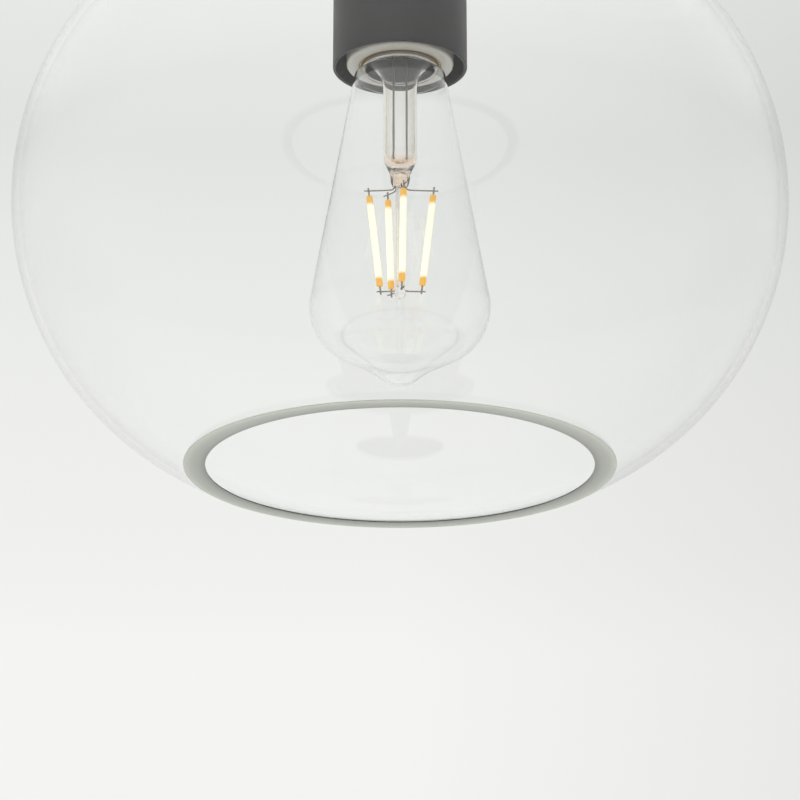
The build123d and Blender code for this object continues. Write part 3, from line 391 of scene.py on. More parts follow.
def joined(name, pieces):
    """Joins pieces into one object."""
    start_clean(*pieces)
    if len(pieces) > 1:
        bpy.ops.object.join()
    pieces[0].name = name
    return pieces[0]


def threaded(name, radius, pitch, depth, low, high, at=(0.0, 0.0), bore=0.0):
    """A threaded rod or nipple: a core with chamfered ends and one helical ridge round it."""
    root = radius - depth
    core_outline = [(bore, low), (root - depth, low), (root, low + depth)]
    core_outline += [(root, high - depth), (root - depth, high), (bore, high)]
    core = spun(name, core_outline, 48, bore > 0.0, at)
    foot, ridge_low = root - 0.3 * depth, low + depth
    profile = [(foot, ridge_low), (radius, ridge_low + pitch / 2), (foot, ridge_low + pitch)]
    turns = int((high - low - 2 * depth) / pitch) - 1
    return joined(name, [core, wound(f"{name} ridge", profile, True, pitch, turns, 36, at)])


def refined(name, source, edge, smooth_angle=35.0):
    """A merged copy of a machined CAD node with its sharp edges rounded."""
    piece = bpy.data.objects.new(name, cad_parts[source].data.copy())
    bpy.context.collection.objects.link(piece)
    piece.data.materials.clear()
    start_clean(piece)
    bpy.ops.object.mode_set(mode="EDIT")
    bpy.ops.mesh.select_all(action="SELECT")
    bpy.ops.mesh.remove_doubles(threshold=1e-6)
    bpy.ops.mesh.dissolve_limited(angle_limit=radians(0.5))
    bpy.ops.object.mode_set(mode="OBJECT")
    if edge:
        rounding = piece.modifiers.new("edge rounding", "BEVEL")
        rounding.width = edge
        rounding.segments = 2
        rounding.angle_limit = radians(40)
        rounding.use_clamp_overlap = True
        bpy.ops.object.modifier_apply(modifier=rounding.name)
    bpy.ops.object.shade_smooth_by_angle(angle=radians(smooth_angle))
    return piece


def finish_piece(piece, body, slot, source, *materials):
    """Gives a piece its materials and its body, and hides the CAD node that it stands for; the record slot is
    not used.
    """
    piece.data.materials.clear()
    for material in materials:
        piece.data.materials.append(material)
    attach(piece, body)
    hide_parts(source)
    return piece


def dress(rows, body, smooth_angle=35.0):
    """Finishes copies of CAD nodes: name, CAD node, edge rounding in mm, record slot and material."""
    for name, source, edge, slot, material in rows:
        finish_piece(refined(name, source, edge * MM, smooth_angle), body, slot, source, material)


def paint_faces(piece, chosen):
    """Gives the faces that pass a test the second of the piece's materials."""
    for face in piece.data.polygons:
        if chosen(face.center):
            face.material_index = 1


# ---------------------------------------------------------------- shader nodes
def node(tree, kind, inputs=None, **settings):
    """Adds a node with its settings; an input takes a value, or a socket to link."""
    made = tree.nodes.new(kind)
    for name, value in settings.items():
        setattr(made, name, value)
    for key, value in (inputs or {}).items():
        if isinstance(value, bpy.types.NodeSocket):
            tree.links.new(value, made.inputs[key])
        else:
            made.inputs[key].default_value = value
    return made


def new_material(name, **values):
    """A material with a Principled shader whose plain values are set on its own sockets."""
    found = bpy.data.materials.get(name)
    if found:
        return found, None, None
    material = bpy.data.materials.new(name)
    material.use_nodes = True
    shader = material.node_tree.nodes["Principled BSDF"]
    for socket, value in values.items():
        shader.inputs[socket.replace("_", " ")].default_value = value
    return material, material.node_tree, shader


def object_place(tree):
    """The place on the piece, in metres."""
    return node(tree, "ShaderNodeTexCoord").outputs["Object"]


def noise(tree, place, size, detail):
    """Cloudy noise with features of a real size in metres."""
    inputs = {"Vector": place, "Scale": 1 / size, "Detail": detail}
    return node(tree, "ShaderNodeTexNoise", inputs).outputs["Fac"]


def spread(tree, value, low, high, to_low=0.0, to_high=1.0):
    """Maps a value from one range onto another and stops at its ends."""
    ends = {"Value": value, "From Min": low, "From Max": high, "To Min": to_low, "To Max": to_high}
    return node(tree, "ShaderNodeMapRange", ends).outputs["Result"]


def maths(tree, operation, first, second):
    """One step of arithmetic on two values."""
    return node(tree, "ShaderNodeMath", {0: first, 1: second}, operation=operation).outputs[0]


def blend(tree, factor, first, second, **settings):
    """Mixes two colours, each a socket or a linear colour."""
    sides = [side if isinstance(side, bpy.types.NodeSocket) else (*side, 1.0) for side in (first, second)]
    inputs = {"Factor": factor, "A": sides[0], "B": sides[1]}
    return node(tree, "ShaderNodeMix", inputs, data_type="RGBA", **settings).outputs["Result"]


def ramp(tree, value, *stops):
    """A colour ramp through linear colours; the first stands at 0 and the last at 1."""
    made = node(tree, "ShaderNodeValToRGB", {"Fac": value})
    elements = made.color_ramp.elements
    elements[0].color, elements[1].color = (*stops[0][1], 1.0), (*stops[-1][1], 1.0)
    for spot, tone in stops[1:-1]:
        elements.new(spot).color = (*tone, 1.0)
    return made.outputs["Color"]


def facing(tree, bias):
    """How far a surface is turned away from whoever looks at it."""
    return node(tree, "ShaderNodeLayerWeight", {"Blend": bias}).outputs["Facing"]


def coloured(tree, shader, tone, socket="Base Color"):
    """Ties a shader's colour to a node."""
    tree.links.new(tone, shader.inputs[socket])


def bumped(tree, shader, height, distance, strength):
    """Raises a shader's surface by a height value times a real distance in metres."""
    bump = node(tree, "ShaderNodeBump", {"Height": height, "Distance": distance, "Strength": strength})
    tree.links.new(bump.outputs["Normal"], shader.inputs["Normal"])


def shades(tone, darker, lighter=1.0):
    """A darker and a lighter shade of a linear colour."""
    return [tuple(min(1.0, channel * factor) for channel in tone) for factor in (darker, lighter)]


def grained(name, tones, roughness, size, height, **values):
    """A material whose colour, roughness and bump follow noise; size and height are in millimetres."""
    material, tree, shader = new_material(name, **values)
    if tree:
        place = object_place(tree)
        cloud = noise(tree, place, 4 * size * MM, 3.0)
        coloured(tree, shader, blend(tree, cloud, *tones))
        tree.links.new(spread(tree, cloud, 0.0, 1.0, *roughness), shader.inputs["Roughness"])
        bumped(tree, shader, noise(tree, place, size * MM, 2.0), height * MM, 0.5)
    return material


# ---------------------------------------------------------------- materials
def powder_coat(colours):
    """Baked satin polyester powder on steel: faint orange peel 0.9 mm across, soft wide highlights."""
    tones = shades(colours.powder_coat, 0.8, 1.25)
    return grained("satin_black_powder_coat", tones, (0.36, 0.5), 0.9, 0.015)


def zinc_plate(colours):
    """Bright zinc plating on turned and pressed steel: cool silver, cloudy over about 2 mm."""
    return grained("bright_zinc_plate", shades(colours.zinc, 0.86), (0.26, 0.42), 0.5, 0.01, Metallic=1.0)


def spring_steel():
    """Oil-blackened spring steel of the snap ring, with 0.4 mm grain."""
    tones = linear("#4b4b4f"), linear("#66666a")
    return grained("blackened_spring_steel", tones, (0.3, 0.45), 0.4, 0.01, Metallic=1.0)


def green_paint(colours):
    """Green dyed coating that marks the ground screw, uneven over about 2 mm."""
    return grained("green_ground_paint", shades(colours.ground_green, 0.8, 1.15), (0.32, 0.45), 0.5, 0.01)


def brass_sheet(colours):
    """Rolled brass, a little dulled in patches of 2 to 3 mm where it was handled."""
    return grained("rolled_brass", shades(colours.brass, 0.78), (0.24, 0.42), 0.6, 0.008, Metallic=1.0)


def nickel_plate():
    """Nickel-plated rolled sheet of the lamp's cap: bright, with faint 3 mm clouds."""
    tones = linear("#bdbab2"), linear("#d6d3cb")
    return grained("nickel_plate", tones, (0.16, 0.3), 0.8, 0.006, Metallic=1.0)


def solder():
    """Dull lead-free solder with a frosted skin of 0.35 mm grain."""
    tones = linear("#9a9b9c"), linear("#c4c5c6")
    return grained("lead_free_solder", tones, (0.38, 0.6), 0.35, 0.02, Metallic=1.0)


def bare_wire():
    """Drawn nickel-iron wire, grey with heat tint that changes along it within a millimetre."""
    tones = linear("#7d7369"), linear("#a69d92")
    return grained("nickel_iron_wire", tones, (0.3, 0.45), 0.2, 0.004, Metallic=1.0)


def porcelain(colours):
    """White glazed porcelain: glossy, with slow 6 mm clouds under the glaze."""
    values = {"Coat_Weight": 0.6, "Coat_Roughness": 0.06}
    return grained("glazed_porcelain", shades(colours.porcelain, 0.95), (0.16, 0.24), 1.6, 0.01, **values)


def silicone(colours):
    """Moulded translucent silicone rubber with a matt skin of 0.6 mm grain."""
    values = {"Subsurface_Weight": 0.25, "Subsurface_Scale": 1.5 * MM, "IOR": 1.41}
    return grained("translucent_silicone", shades(colours.silicone, 0.93), (0.45, 0.6), 0.6, 0.01, **values)


def pvc(name, code):
    """Extruded PVC insulation with a slight sheen, a little uneven over 2 mm."""
    return grained(name, shades(linear(code), 0.9, 1.1), (0.3, 0.42), 0.5, 0.006, IOR=1.53)


def connector_nylon(colours):
    """Moulded nylon of the twist-on connectors, with a fine matt texture of 0.4 mm."""
    return grained("moulded_nylon", shades(colours.connector, 0.88), (0.42, 0.56), 0.4, 0.02, IOR=1.53)


def black_cap_glass():
    """Poured black glass between the cap and its contact: glossy, with 1.2 mm waves."""
    tones = linear("#141418"), linear("#22222a")
    values = {"Coat_Weight": 0.4, "Coat_Roughness": 0.05}
    return grained("black_cap_glass", tones, (0.1, 0.2), 1.2, 0.02, **values)


def board_laminate():
    """Green glass-fibre laminate of the driver board, mottled over about 3 mm."""
    tones = linear("#1d4a2a"), linear("#2f6b3e")
    return grained("fibre_laminate", tones, (0.35, 0.5), 0.7, 0.01, IOR=1.55)


def clear_glass(name, tint, density, wave_size, painted_limb_shade, ripple=0.0):
    """Clear blown glass: grey-green through its thickness, painted shade in a darker band along its limb, and
    slow waves.
    """
    material, tree, shader = new_material(name, Transmission_Weight=1.0, Roughness=0.0, IOR=1.42)
    if tree:
        wave = noise(tree, object_place(tree), wave_size, 1.0)
        tone = blend(tree, wave, (0.997, 0.999, 0.997), (1.0, 1.0, 1.0))
        # Painted shade: the colour darkens towards the limb, where the surface turns away from the eye.
        coloured(tree, shader, blend(tree, spread(tree, facing(tree, 0.5), 0.35, 1.0), tone, painted_limb_shade))
        if ripple:
            bumped(tree, shader, wave, ripple, 1.0)
        inputs = {"Color": (*tint, 1.0), "Density": density}
        depth = node(tree, "ShaderNodeVolumeAbsorption", inputs)
        tree.links.new(depth.outputs["Volume"], tree.nodes["Material Output"].inputs["Volume"])
    return material


def stem_glass(press_low, press_high):
    """Drawn stem glass: painted shade in brown along its edges, and crinkled and peach-coloured where it was
    squeezed.
    """
    material, tree, shader = new_material(
        "drawn_stem_glass", Transmission_Weight=1.0, Roughness=0.02, IOR=1.45
    )
    if tree:
        place = object_place(tree)
        level = node(tree, "ShaderNodeSeparateXYZ", {"Vector": place}).outputs["Z"]
        below_tube = spread(tree, level, press_high + 2.0 * MM, press_high - 2.0 * MM)
        above_end = spread(tree, level, press_low - 0.8 * MM, press_low + 0.2 * MM)
        press = maths(tree, "MULTIPLY", below_tube, above_end)
        # Painted shade: the edges that turn away from the eye are tinted brown.
        body = blend(tree, facing(tree, 0.28), (1.0, 1.0, 1.0), linear("#d9c9ab"))
        crinkle = noise(tree, place, 1.6 * MM, 3.0)
        warm = blend(tree, crinkle, linear("#f2d2b2"), linear("#fdf0e2"))
        coloured(tree, shader, blend(tree, press, body, warm))
        bumped(tree, shader, crinkle, 0.35 * MM, press)
    return material


# Painted light and shade across the mouth's ground face, from the inner to the outer edge: darkest in a thin
# band at the inner edge, near white at the outer.
RIM_PAINTED_SHADE = (
    (0.0, "#666764"),
    (0.08, "#9b9996"),
    (0.16, "#bab8b5"),
    (0.4, "#d5d3d1"),
    (0.75, "#e6e5e1"),
    (1.0, "#fcfbf5"),
)


def ground_glass(globe, inner):
    """The mouth's cut face, ground and half polished: matt, with 0.5 mm grit; painted shade darkens it
    towards its inner edge, and where it is seen from inside the glass.
    """
    material, tree, shader = new_material("ground_glass_rim", Transmission_Weight=0.12, IOR=1.52)
    if tree:
        place = object_place(tree)
        flat = node(tree, "ShaderNodeVectorMath", {0: place, 1: (1.0, 1.0, 0.0)}, operation="MULTIPLY")
        radius = node(tree, "ShaderNodeVectorMath", {0: flat.outputs["Vector"]}, operation="LENGTH")
        across = spread(tree, radius.outputs["Value"], inner, globe.mouth)
        # Painted light and shade across the face, darkest at its inner edge.
        tone = ramp(tree, across, *((spot, linear(code)) for spot, code in RIM_PAINTED_SHADE))
        # Painted shade: seen from inside the glass, through the wall, the ground face is darkened.
        behind = node(tree, "ShaderNodeNewGeometry").outputs["Backfacing"]
        coloured(tree, shader, blend(tree, behind, tone, (0.5, 0.51, 0.515), blend_type="MULTIPLY"))
        grit = noise(tree, place, 0.5 * MM, 4.0)
        tree.links.new(spread(tree, grit, 0.0, 1.0, 0.4, 0.6), shader.inputs["Roughness"])
        bumped(tree, shader, grit, 0.02 * MM, 0.4)
    return material


def lit_phosphor(colours, top, bottom, bare):
    """Silicone and phosphor on a lit LED filament: pale warm white, and amber at its unlit ends."""
    material, tree, shader = new_material("lit_phosphor_silicone", Roughness=0.5, Emission_Strength=0.75)
    if tree:
        level = node(tree, "ShaderNodeSeparateXYZ", {"Vector": object_place(tree)}).outputs["Z"]
        unlit, lit = 0.75 * bare / (top - bottom), 1.15 * bare / (top - bottom)
        ends, pale = colours.amber, colours.glow
        stops = ((0.0, ends), (unlit, ends), (lit, pale), (1 - lit, pale), (1 - unlit, ends), (1.0, ends))
        glow = ramp(tree, spread(tree, level, bottom, top), *stops)
        # The silicone jacket is thicker to look through along its sides, so those are yellower.
        jacket = blend(tree, facing(tree, 0.35), glow, linear("#ffef9c"), blend_type="MULTIPLY")
        coloured(tree, shader, jacket, "Emission Color")
        coloured(tree, shader, glow)
    return material


# Heights in metres above the ceiling face, and the backdrop's glow there: painted light and shade, darkest
# between 1.4 and 1.9 m.
STAGE_PAINTED_LIGHT = (
    (-1.5, "#f2f2f0"),
    (0.58, "#f6f6f4"),
    (0.8, "#f1f2ef"),
    (1.1, "#eeefec"),
    (1.42, "#e8eae7"),
    (1.67, "#e2e4e2"),
    (1.9, "#e6e8e6"),
    (2.4, "#f6f7f5"),
    (4.0, "#fcfdfc"),
)


def stage_paint(stage):
    """Matt pale paint. Rays that only look at it see a glow of painted light and shade, graded by height and
    dimmer on its +X side; light falls on it as on paint.
    """
    material = bpy.data.materials.new("pale_stage_paint")
    material.use_nodes = True
    tree = material.node_tree
    tree.nodes.clear()
    spot = node(tree, "ShaderNodeSeparateXYZ", {"Vector": object_place(tree)})
    low, high = STAGE_PAINTED_LIGHT[0][0], STAGE_PAINTED_LIGHT[-1][0]
    stops = [((height - low) / (high - low), linear(code)) for height, code in STAGE_PAINTED_LIGHT]
    tone = ramp(tree, spread(tree, spot.outputs["Z"], low, high), *stops)
    # Painted shade: the glow dims by a tenth from X = 0 to X = 0.8 m, and stays so on the +X side.
    painted_side_shade = spread(tree, spot.outputs["X"], 0.0, 0.8, 1.0, 0.9)
    glow = node(tree, "ShaderNodeEmission", {"Color": tone, "Strength": painted_side_shade})
    matt = node(tree, "ShaderNodeBsdfDiffuse", {"Color": (*stage.backdrop, 1.0), "Roughness": 0.6})
    path = node(tree, "ShaderNodeLightPath").outputs
    looks = maths(tree, "MAXIMUM", path["Is Camera Ray"], path["Is Glossy Ray"])
    looks = maths(tree, "MAXIMUM", looks, path["Is Transmission Ray"])
    # A little of the paint stays in what the camera sees, so that the floor keeps the light's shadow.
    share = maths(tree, "MULTIPLY", looks, 0.97)
    inputs = {"Fac": share, 1: matt.outputs["BSDF"], 2: glow.outputs["Emission"]}
    both = node(tree, "ShaderNodeMixShader", inputs)
    node(tree, "ShaderNodeOutputMaterial", {"Surface": both.outputs["Shader"]})
    return material


# ---------------------------------------------------------------- operators
class PENDANT_OT_stage(bpy.types.Operator):
    """Builds the pale floor and backdrop, the soft lights and the camera below the light, looking up."""

    bl_idname = "pendant.stage"
    bl_label = "Stage"

    def execute(self, context):
        settings = context.scene.pendant_light
        stage = settings.stage
        floor_z, far, cove = -stage.floor_drop, stage.backdrop_distance, stage.cove
        outline = [(0.0, floor_z), (far - cove, floor_z)]
        outline += rounded((far, floor_z), cove, -pi / 2, 0.0, 24)
        outline.append((far, stage.backdrop_top))
        backdrop = spun("stage_backdrop", outline, 128, closed=False)
        start_clean(backdrop)
        bpy.ops.object.mode_set(mode="EDIT")
        bpy.ops.mesh.select_all(action="SELECT")
        bpy.ops.mesh.flip_normals()
        bpy.ops.object.mode_set(mode="OBJECT")
        backdrop.data.materials.append(stage_paint(stage))

        world = bpy.data.worlds.new("studio_air")
        context.scene.world = world
        world.use_nodes = True
        background = world.node_tree.nodes["Background"]
        background.inputs["Color"].default_value = (*linear("#f3f4f2"), 1.0)
        background.inputs["Strength"].default_value = 1.05

        aim = Vector((0.0, 0.0, -0.35))
        for name, place, power, width in (
            ("soft_key", (-2.4, -2.6, 1.9), 40.0, 2.6),
            ("soft_fill", (3.0, -1.6, 0.6), 14.0, 2.4),
            ("soft_back", (0.6, 3.2, 2.2), 14.0, 2.0),
        ):
            bpy.ops.object.light_add(type="AREA", location=place)
            light = context.object
            light.name = name
            light.data.energy = power
            light.data.size = width
            light.rotation_euler = (aim - Vector(place)).to_track_quat("-Z", "Y").to_euler()
            light.visible_camera = light.visible_glossy = light.visible_transmission = False

        centre_z = globe_levels(settings.globe)[1]
        bpy.ops.object.camera_add(
            location=(0.0, -stage.camera_distance, centre_z - stage.camera_drop),
            rotation=(pi / 2 + stage.camera_pitch, 0.0, 0.0),
        )
        camera = context.object
        camera.name = "studio_camera"
        camera.data.lens = stage.camera_lens
        camera.data.sensor_width = 36.0
        camera.data.clip_start, camera.data.clip_end = 0.02, 40.0
        context.scene.camera = camera
        context.scene.view_settings.view_transform = "Standard"
        return {"FINISHED"}


class PENDANT_OT_glass_globe(bpy.types.Operator):
    """Spins the oval glass globe and gives its cut mouth a ground face."""

    bl_idname = "pendant.glass_globe"
    bl_label = "Glass Globe"

    def execute(self, context):
        globe = context.scene.pendant_light.globe
        mouth_z, centre_z, side_centre, *_ = globe_levels(globe)
        edge_z = mouth_z + globe.rim_break
        outside = globe_curve(globe, 0.0, edge_z)
        inside = globe_curve(globe, globe.wall, edge_z)
        outer, inner = outside[-1][0], inside[-1][0]
        half_break = 0.5 * globe.rim_break
        rim = [
            (outer - 0.4 * half_break, mouth_z + half_break * 0.6),
            (outer - 3.2 * half_break, mouth_z),
            (inner + 2.2 * half_break, mouth_z),
            (inner + 0.4 * half_break, mouth_z + half_break * 0.6),
        ]
        glass = spun("globe_glass", outside + rim + inside[::-1], 256, smooth_angle=25.0)
        # Painted shade along the globe's limb.
        painted_limb_shade = (0.885, 0.902, 0.898)
        tint, ripple = linear("#c3cfc8"), 0.0006 * MM
        blown = clear_glass("blown_clear_glass", tint, 2.0, 20.0 * MM, painted_limb_shade, ripple)
        cut_inside = side_centre + sqrt((globe.side_arc - globe.wall) ** 2 - (mouth_z - centre_z) ** 2)
        ground = ground_glass(globe, cut_inside)
        finish_piece(glass, "hanging_set", "clear_glass", "glass_globe", blown, ground)
        ground_from = inner + 1.2 * half_break
        paint_faces(glass, lambda spot: spot.z < edge_z - 0.02 * MM and spot.xy.length > ground_from)
        return {"FINISHED"}


class PENDANT_OT_lamp_envelope(bpy.types.Operator):
    """Spins the lamp's teardrop envelope with its sealed tip."""

    bl_idname = "pendant.lamp_envelope"
    bl_label = "Lamp Envelope"

    def execute(self, context):
        lamp = context.scene.pendant_light.lamp
        tip_z, neck_top, _ = reach("bulb_envelope")
        outside = envelope_curve(lamp, neck_top, tip_z, 0.0)
        inside = envelope_curve(lamp, neck_top, tip_z, lamp.wall)
        glass = spun("lamp_envelope", outside + inside[::-1], 256, smooth_angle=40.0)
        # The last colour is painted shade along the lamp's limb.
        blown = clear_glass("blown_lamp_glass", (0.73, 0.76, 0.74), 5.0, 12.0 * MM, (0.885, 0.9, 0.895))
        finish_piece(glass, "lamp", "bulb_glass", "bulb_envelope", blown)
        return {"FINISHED"}


class PENDANT_OT_lamp_stem(bpy.types.Operator):
    """Makes the glass stem: flare, tube, pressed seal and exhaust tube, and the lead-in wires."""

    bl_idname = "pendant.lamp_stem"
    bl_label = "Lamp Stem"

    def execute(self, context):
        lamp = context.scene.pendant_light.lamp
        low, high, flare_radius = reach("glass_stem")
        wire_low, wire_high, _ = reach("lead_in_wires")
        tube, inner = lamp.stem_tube, lamp.stem_tube - lamp.stem_wall
        press_high = wire_low - 0.25 * MM
        press_low = press_high - lamp.press
        outline = steps((flare_radius, high), (0.0, 0.0), (-1.2, -0.9))
        outline += steps((tube, high), (2.2, -3.0), (0.7, -6.2), (0.1, -9.5), (0.0, -12.0))
        outline += steps((tube, press_high), (0.0, 1.5), (-0.3, -0.6))
        outline += steps((0.0, press_high), (4.4, -2.6), (3.5, -4.6))
        outline += steps((0.0, press_low), (3.1, 1.6), (2.6, 0.3), (1.7, 0.0), (0.0, 0.0))
        hollow = steps((0.0, press_high), (0.0, -1.5), (2.4, -0.6), (4.2, 0.9))
        hollow += [(inner, press_high + 2.2 * MM), (inner, high - 11.6 * MM)]
        hollow += steps((tube, high), (0.2, -5.6), (1.8, -2.2))
        stem = spun("stem_press", outline + hollow, 64, smooth_angle=60.0)
        # The seal is squeezed flat while it is hot: each level is narrowed across the wires.
        start_clean(stem)
        for top, bottom, factor in ((-0.3, -1.4, 0.93), (-1.4, -3.4, 0.72), (-3.4, -9.6, 0.56)):
            for vertex in stem.data.vertices:
                depth = (vertex.co.z - press_high) / MM
                vertex.select = bottom < depth <= top and vertex.co.xy.length > 2.5 * MM
            bpy.ops.object.mode_set(mode="EDIT")
            bpy.ops.mesh.select_mode(type="VERT")
            bpy.ops.transform.resize(value=(1.0, factor, 1.0), center_override=(0.0, 0.0, press_high))
            bpy.ops.mesh.select_all(action="DESELECT")
            bpy.ops.object.mode_set(mode="OBJECT")
        exhaust, bore, bead = lamp.exhaust, lamp.exhaust_bore, lamp.bead
        top = press_low - 0.05 * MM
        outline = [(bore, top), (exhaust, top), (exhaust, low + 2 * bead)]
        outline += arc((0.0, low + bead), bead, 0.7, -pi / 2, 14)
        outline += [(0.0, low + 3.4 * MM), (bore, low + 4.2 * MM)]
        pump_tube = spun("exhaust_tube", outline, 40, smooth_angle=40.0)
        glass = joined("lamp_stem", [stem, pump_tube])
        finish_piece(glass, "lamp", "stem_glass", "glass_stem", stem_glass(press_low, press_high))

        wires = []
        for x in (-lamp.lead_in_place, lamp.lead_in_place):
            wires.append(straight_rod("lead_in", (x, 0, wire_low), (x, 0, wire_high), lamp.lead_in, 12))
        pair = joined("lead_in_wires_drawn", wires)
        finish_piece(pair, "lamp", "nickel_wire", "lead_in_wires", bare_wire())
        return {"FINISHED"}


# Each filament's angle round the axis in degrees, and its distance from the axis in mm at its top and foot.
FILAMENT_PLACES = ((3, 11.5, 7.1), (135, 6.4, 4.4), (177, 10.8, 6.4), (285, 6.2, 3.9))


class PENDANT_OT_lamp_filaments(bpy.types.Operator):
    """Makes the four lit filaments with their metal ends, and the wires above and below that hold them."""

    bl_idname = "pendant.lamp_filaments"
    bl_label = "Filaments"

    def execute(self, context):
        settings = context.scene.pendant_light
        lamp = settings.lamp
        low, high, _ = reach("filament_tabs")
        phosphor_low, phosphor_high, _ = reach("filaments")
        upper_z = sum(reach("upper_support_wires")[:2]) / 2
        lower_z = sum(reach("lower_support_wires")[:2]) / 2
        coated, tabs, upper, lower = [], [], [], []
        for turn, top_circle, bottom_circle in FILAMENT_PLACES:
            out = Vector((cos(radians(turn)), sin(radians(turn)), 0.0))
            top = out * top_circle * MM + Vector((0.0, 0.0, high))
            bottom = out * bottom_circle * MM + Vector((0.0, 0.0, low))
            along = (bottom - top).normalized()
            # Its metal ends lie against the side of the wires that hold it.
            aside = along.cross(out).normalized() * 0.42 * MM
            top, bottom = top + aside, bottom + aside
            start, end = top + along * lamp.tab_length, bottom - along * lamp.tab_length
            coated.append(straight_rod("filament", start, end, lamp.filament, 24, 0.45))
            tabs.append(straight_rod("filament_end", top, start, lamp.tab, 8))
            tabs.append(straight_rod("filament_end", end, bottom, lamp.tab, 8))
            for wires, level, circle, inner, rise in (
                (upper, upper_z, top_circle, 1.3, 1.9),
                (lower, lower_z, bottom_circle, 1.2, 0.5),
            ):
                places = ((inner, rise), (inner + 0.9, 0.2 * rise), (inner + 2.2, 0.0), (circle + 1.4, 0.0))
                route = [out * away * MM + Vector((0.0, 0.0, level + up * MM)) for away, up in places]
                wires.append(bent_wire("support_wire", route, lamp.support))
        glow = lit_phosphor(settings.colours, phosphor_high, phosphor_low, 3.3 * MM)
        finish_piece(joined("filament_rods", coated), "lamp", "phosphor", "filaments", glow)
        for name, pieces, source in (
            ("filament_ends", tabs, "filament_tabs"),
            ("support_wires_top", upper, "upper_support_wires"),
            ("support_wires_low", lower, "lower_support_wires"),
        ):
            finish_piece(joined(name, pieces), "lamp", "nickel_wire", source, bare_wire())
        return {"FINISHED"}


class PENDANT_OT_lamp_base(bpy.types.Operator):
    """Makes the lamp's rolled screw cap, the black glass insulator, the contact and the driver board."""

    bl_idname = "pendant.lamp_base"
    bl_label = "Lamp Base"

    def execute(self, context):
        lamp = context.scene.pendant_light.lamp
        low, high, radius = reach("lamp_cap")
        pitch, depth = lamp.thread_pitch, lamp.thread_depth
        thread_low = low + lamp.thread_start
        turns, wave_points = 4, 14
        root, inner = radius - depth, radius - depth - lamp.cap_wall
        shares = [i / wave_points for i in range(wave_points + 1)]
        sunk = [depth * (0.5 - 0.5 * cos(2 * pi * share)) for share in shares]
        wave = [(radius - deep, thread_low + pitch * share) for deep, share in zip(sunk, shares)]
        thread = wound("cap_thread", wave, False, pitch, turns, 72, smooth_angle=60.0)
        outline = [(inner, low), *steps((radius, low), (-0.25, 0.0), (0.0, 0.25))]
        outline += [(radius, thread_low + 0.3 * MM), (root, thread_low + 0.9 * MM)]
        outline += [(root - 0.02 * MM, thread_low + pitch * (turns + 0.6))]
        outline += [(radius - depth * 0.4, high - 1.5 * MM)]
        outline += steps((0.0, high), (11.4, -0.1), (11.1, -0.1)) + [(inner, high - 2.0 * MM)]
        shell = spun("cap_shell", outline, 96, smooth_angle=35.0)
        cap = joined("lamp_screw_cap", [shell, thread])
        finish_piece(cap, "lamp", "nickel", "lamp_cap", nickel_plate())

        low, high, radius = reach("cap_insulator")
        outline = [(0.0, low), (radius, low), (radius, low + 0.45 * MM)]
        outline += arc((radius - 4.9 * MM, low - 3.6 * MM), 6.3 * MM, radians(41), radians(78), 8)
        outline += [(0.0, high)]
        insulator = spun("cap_glass_cone", outline, 64, closed=False, smooth_angle=50.0)
        finish_piece(insulator, "lamp_end", "black_glass", "cap_insulator", black_cap_glass())

        low, high, radius = reach("cap_contact")
        outline = [(0.0, low), *steps((radius, low), (0.0, 0.0), (0.0, 0.5), (-0.35, 0.85))]
        sphere = 9.6 * MM
        half = asin((radius - 0.9 * MM) / sphere)
        outline += [(radius - 0.9 * MM, high - sphere * (1 - cos(half)))]
        outline += arc((0.0, high - sphere), sphere, pi / 2 - half, pi / 2, 10)
        contact = spun("cap_end_contact", outline, 48, closed=False, smooth_angle=50.0)
        finish_piece(contact, "lamp_end", "solder", "cap_contact", solder())

        board = refined("led_driver", "driver_board", 0.0)
        resin = pvc("black_resin", "#1c1c1e")
        finish_piece(board, "lamp", "board_green", "driver_board", board_laminate(), resin)
        board_top = reach("driver_board")[0] + 1.05 * MM
        paint_faces(board, lambda spot: spot.z > board_top)
        return {"FINISHED"}


def flare(start, waist, end):
    """The cover's hollow curve: a parabola through three points."""
    points = []
    for i in range(25):
        t = i / 24
        a, b, c = (1 - t) * (1 - 2 * t), 4 * t * (1 - t), t * (2 * t - 1)
        points.append(tuple(a * x + b * y + c * z for x, y, z in zip(start, waist, end)))
    return points


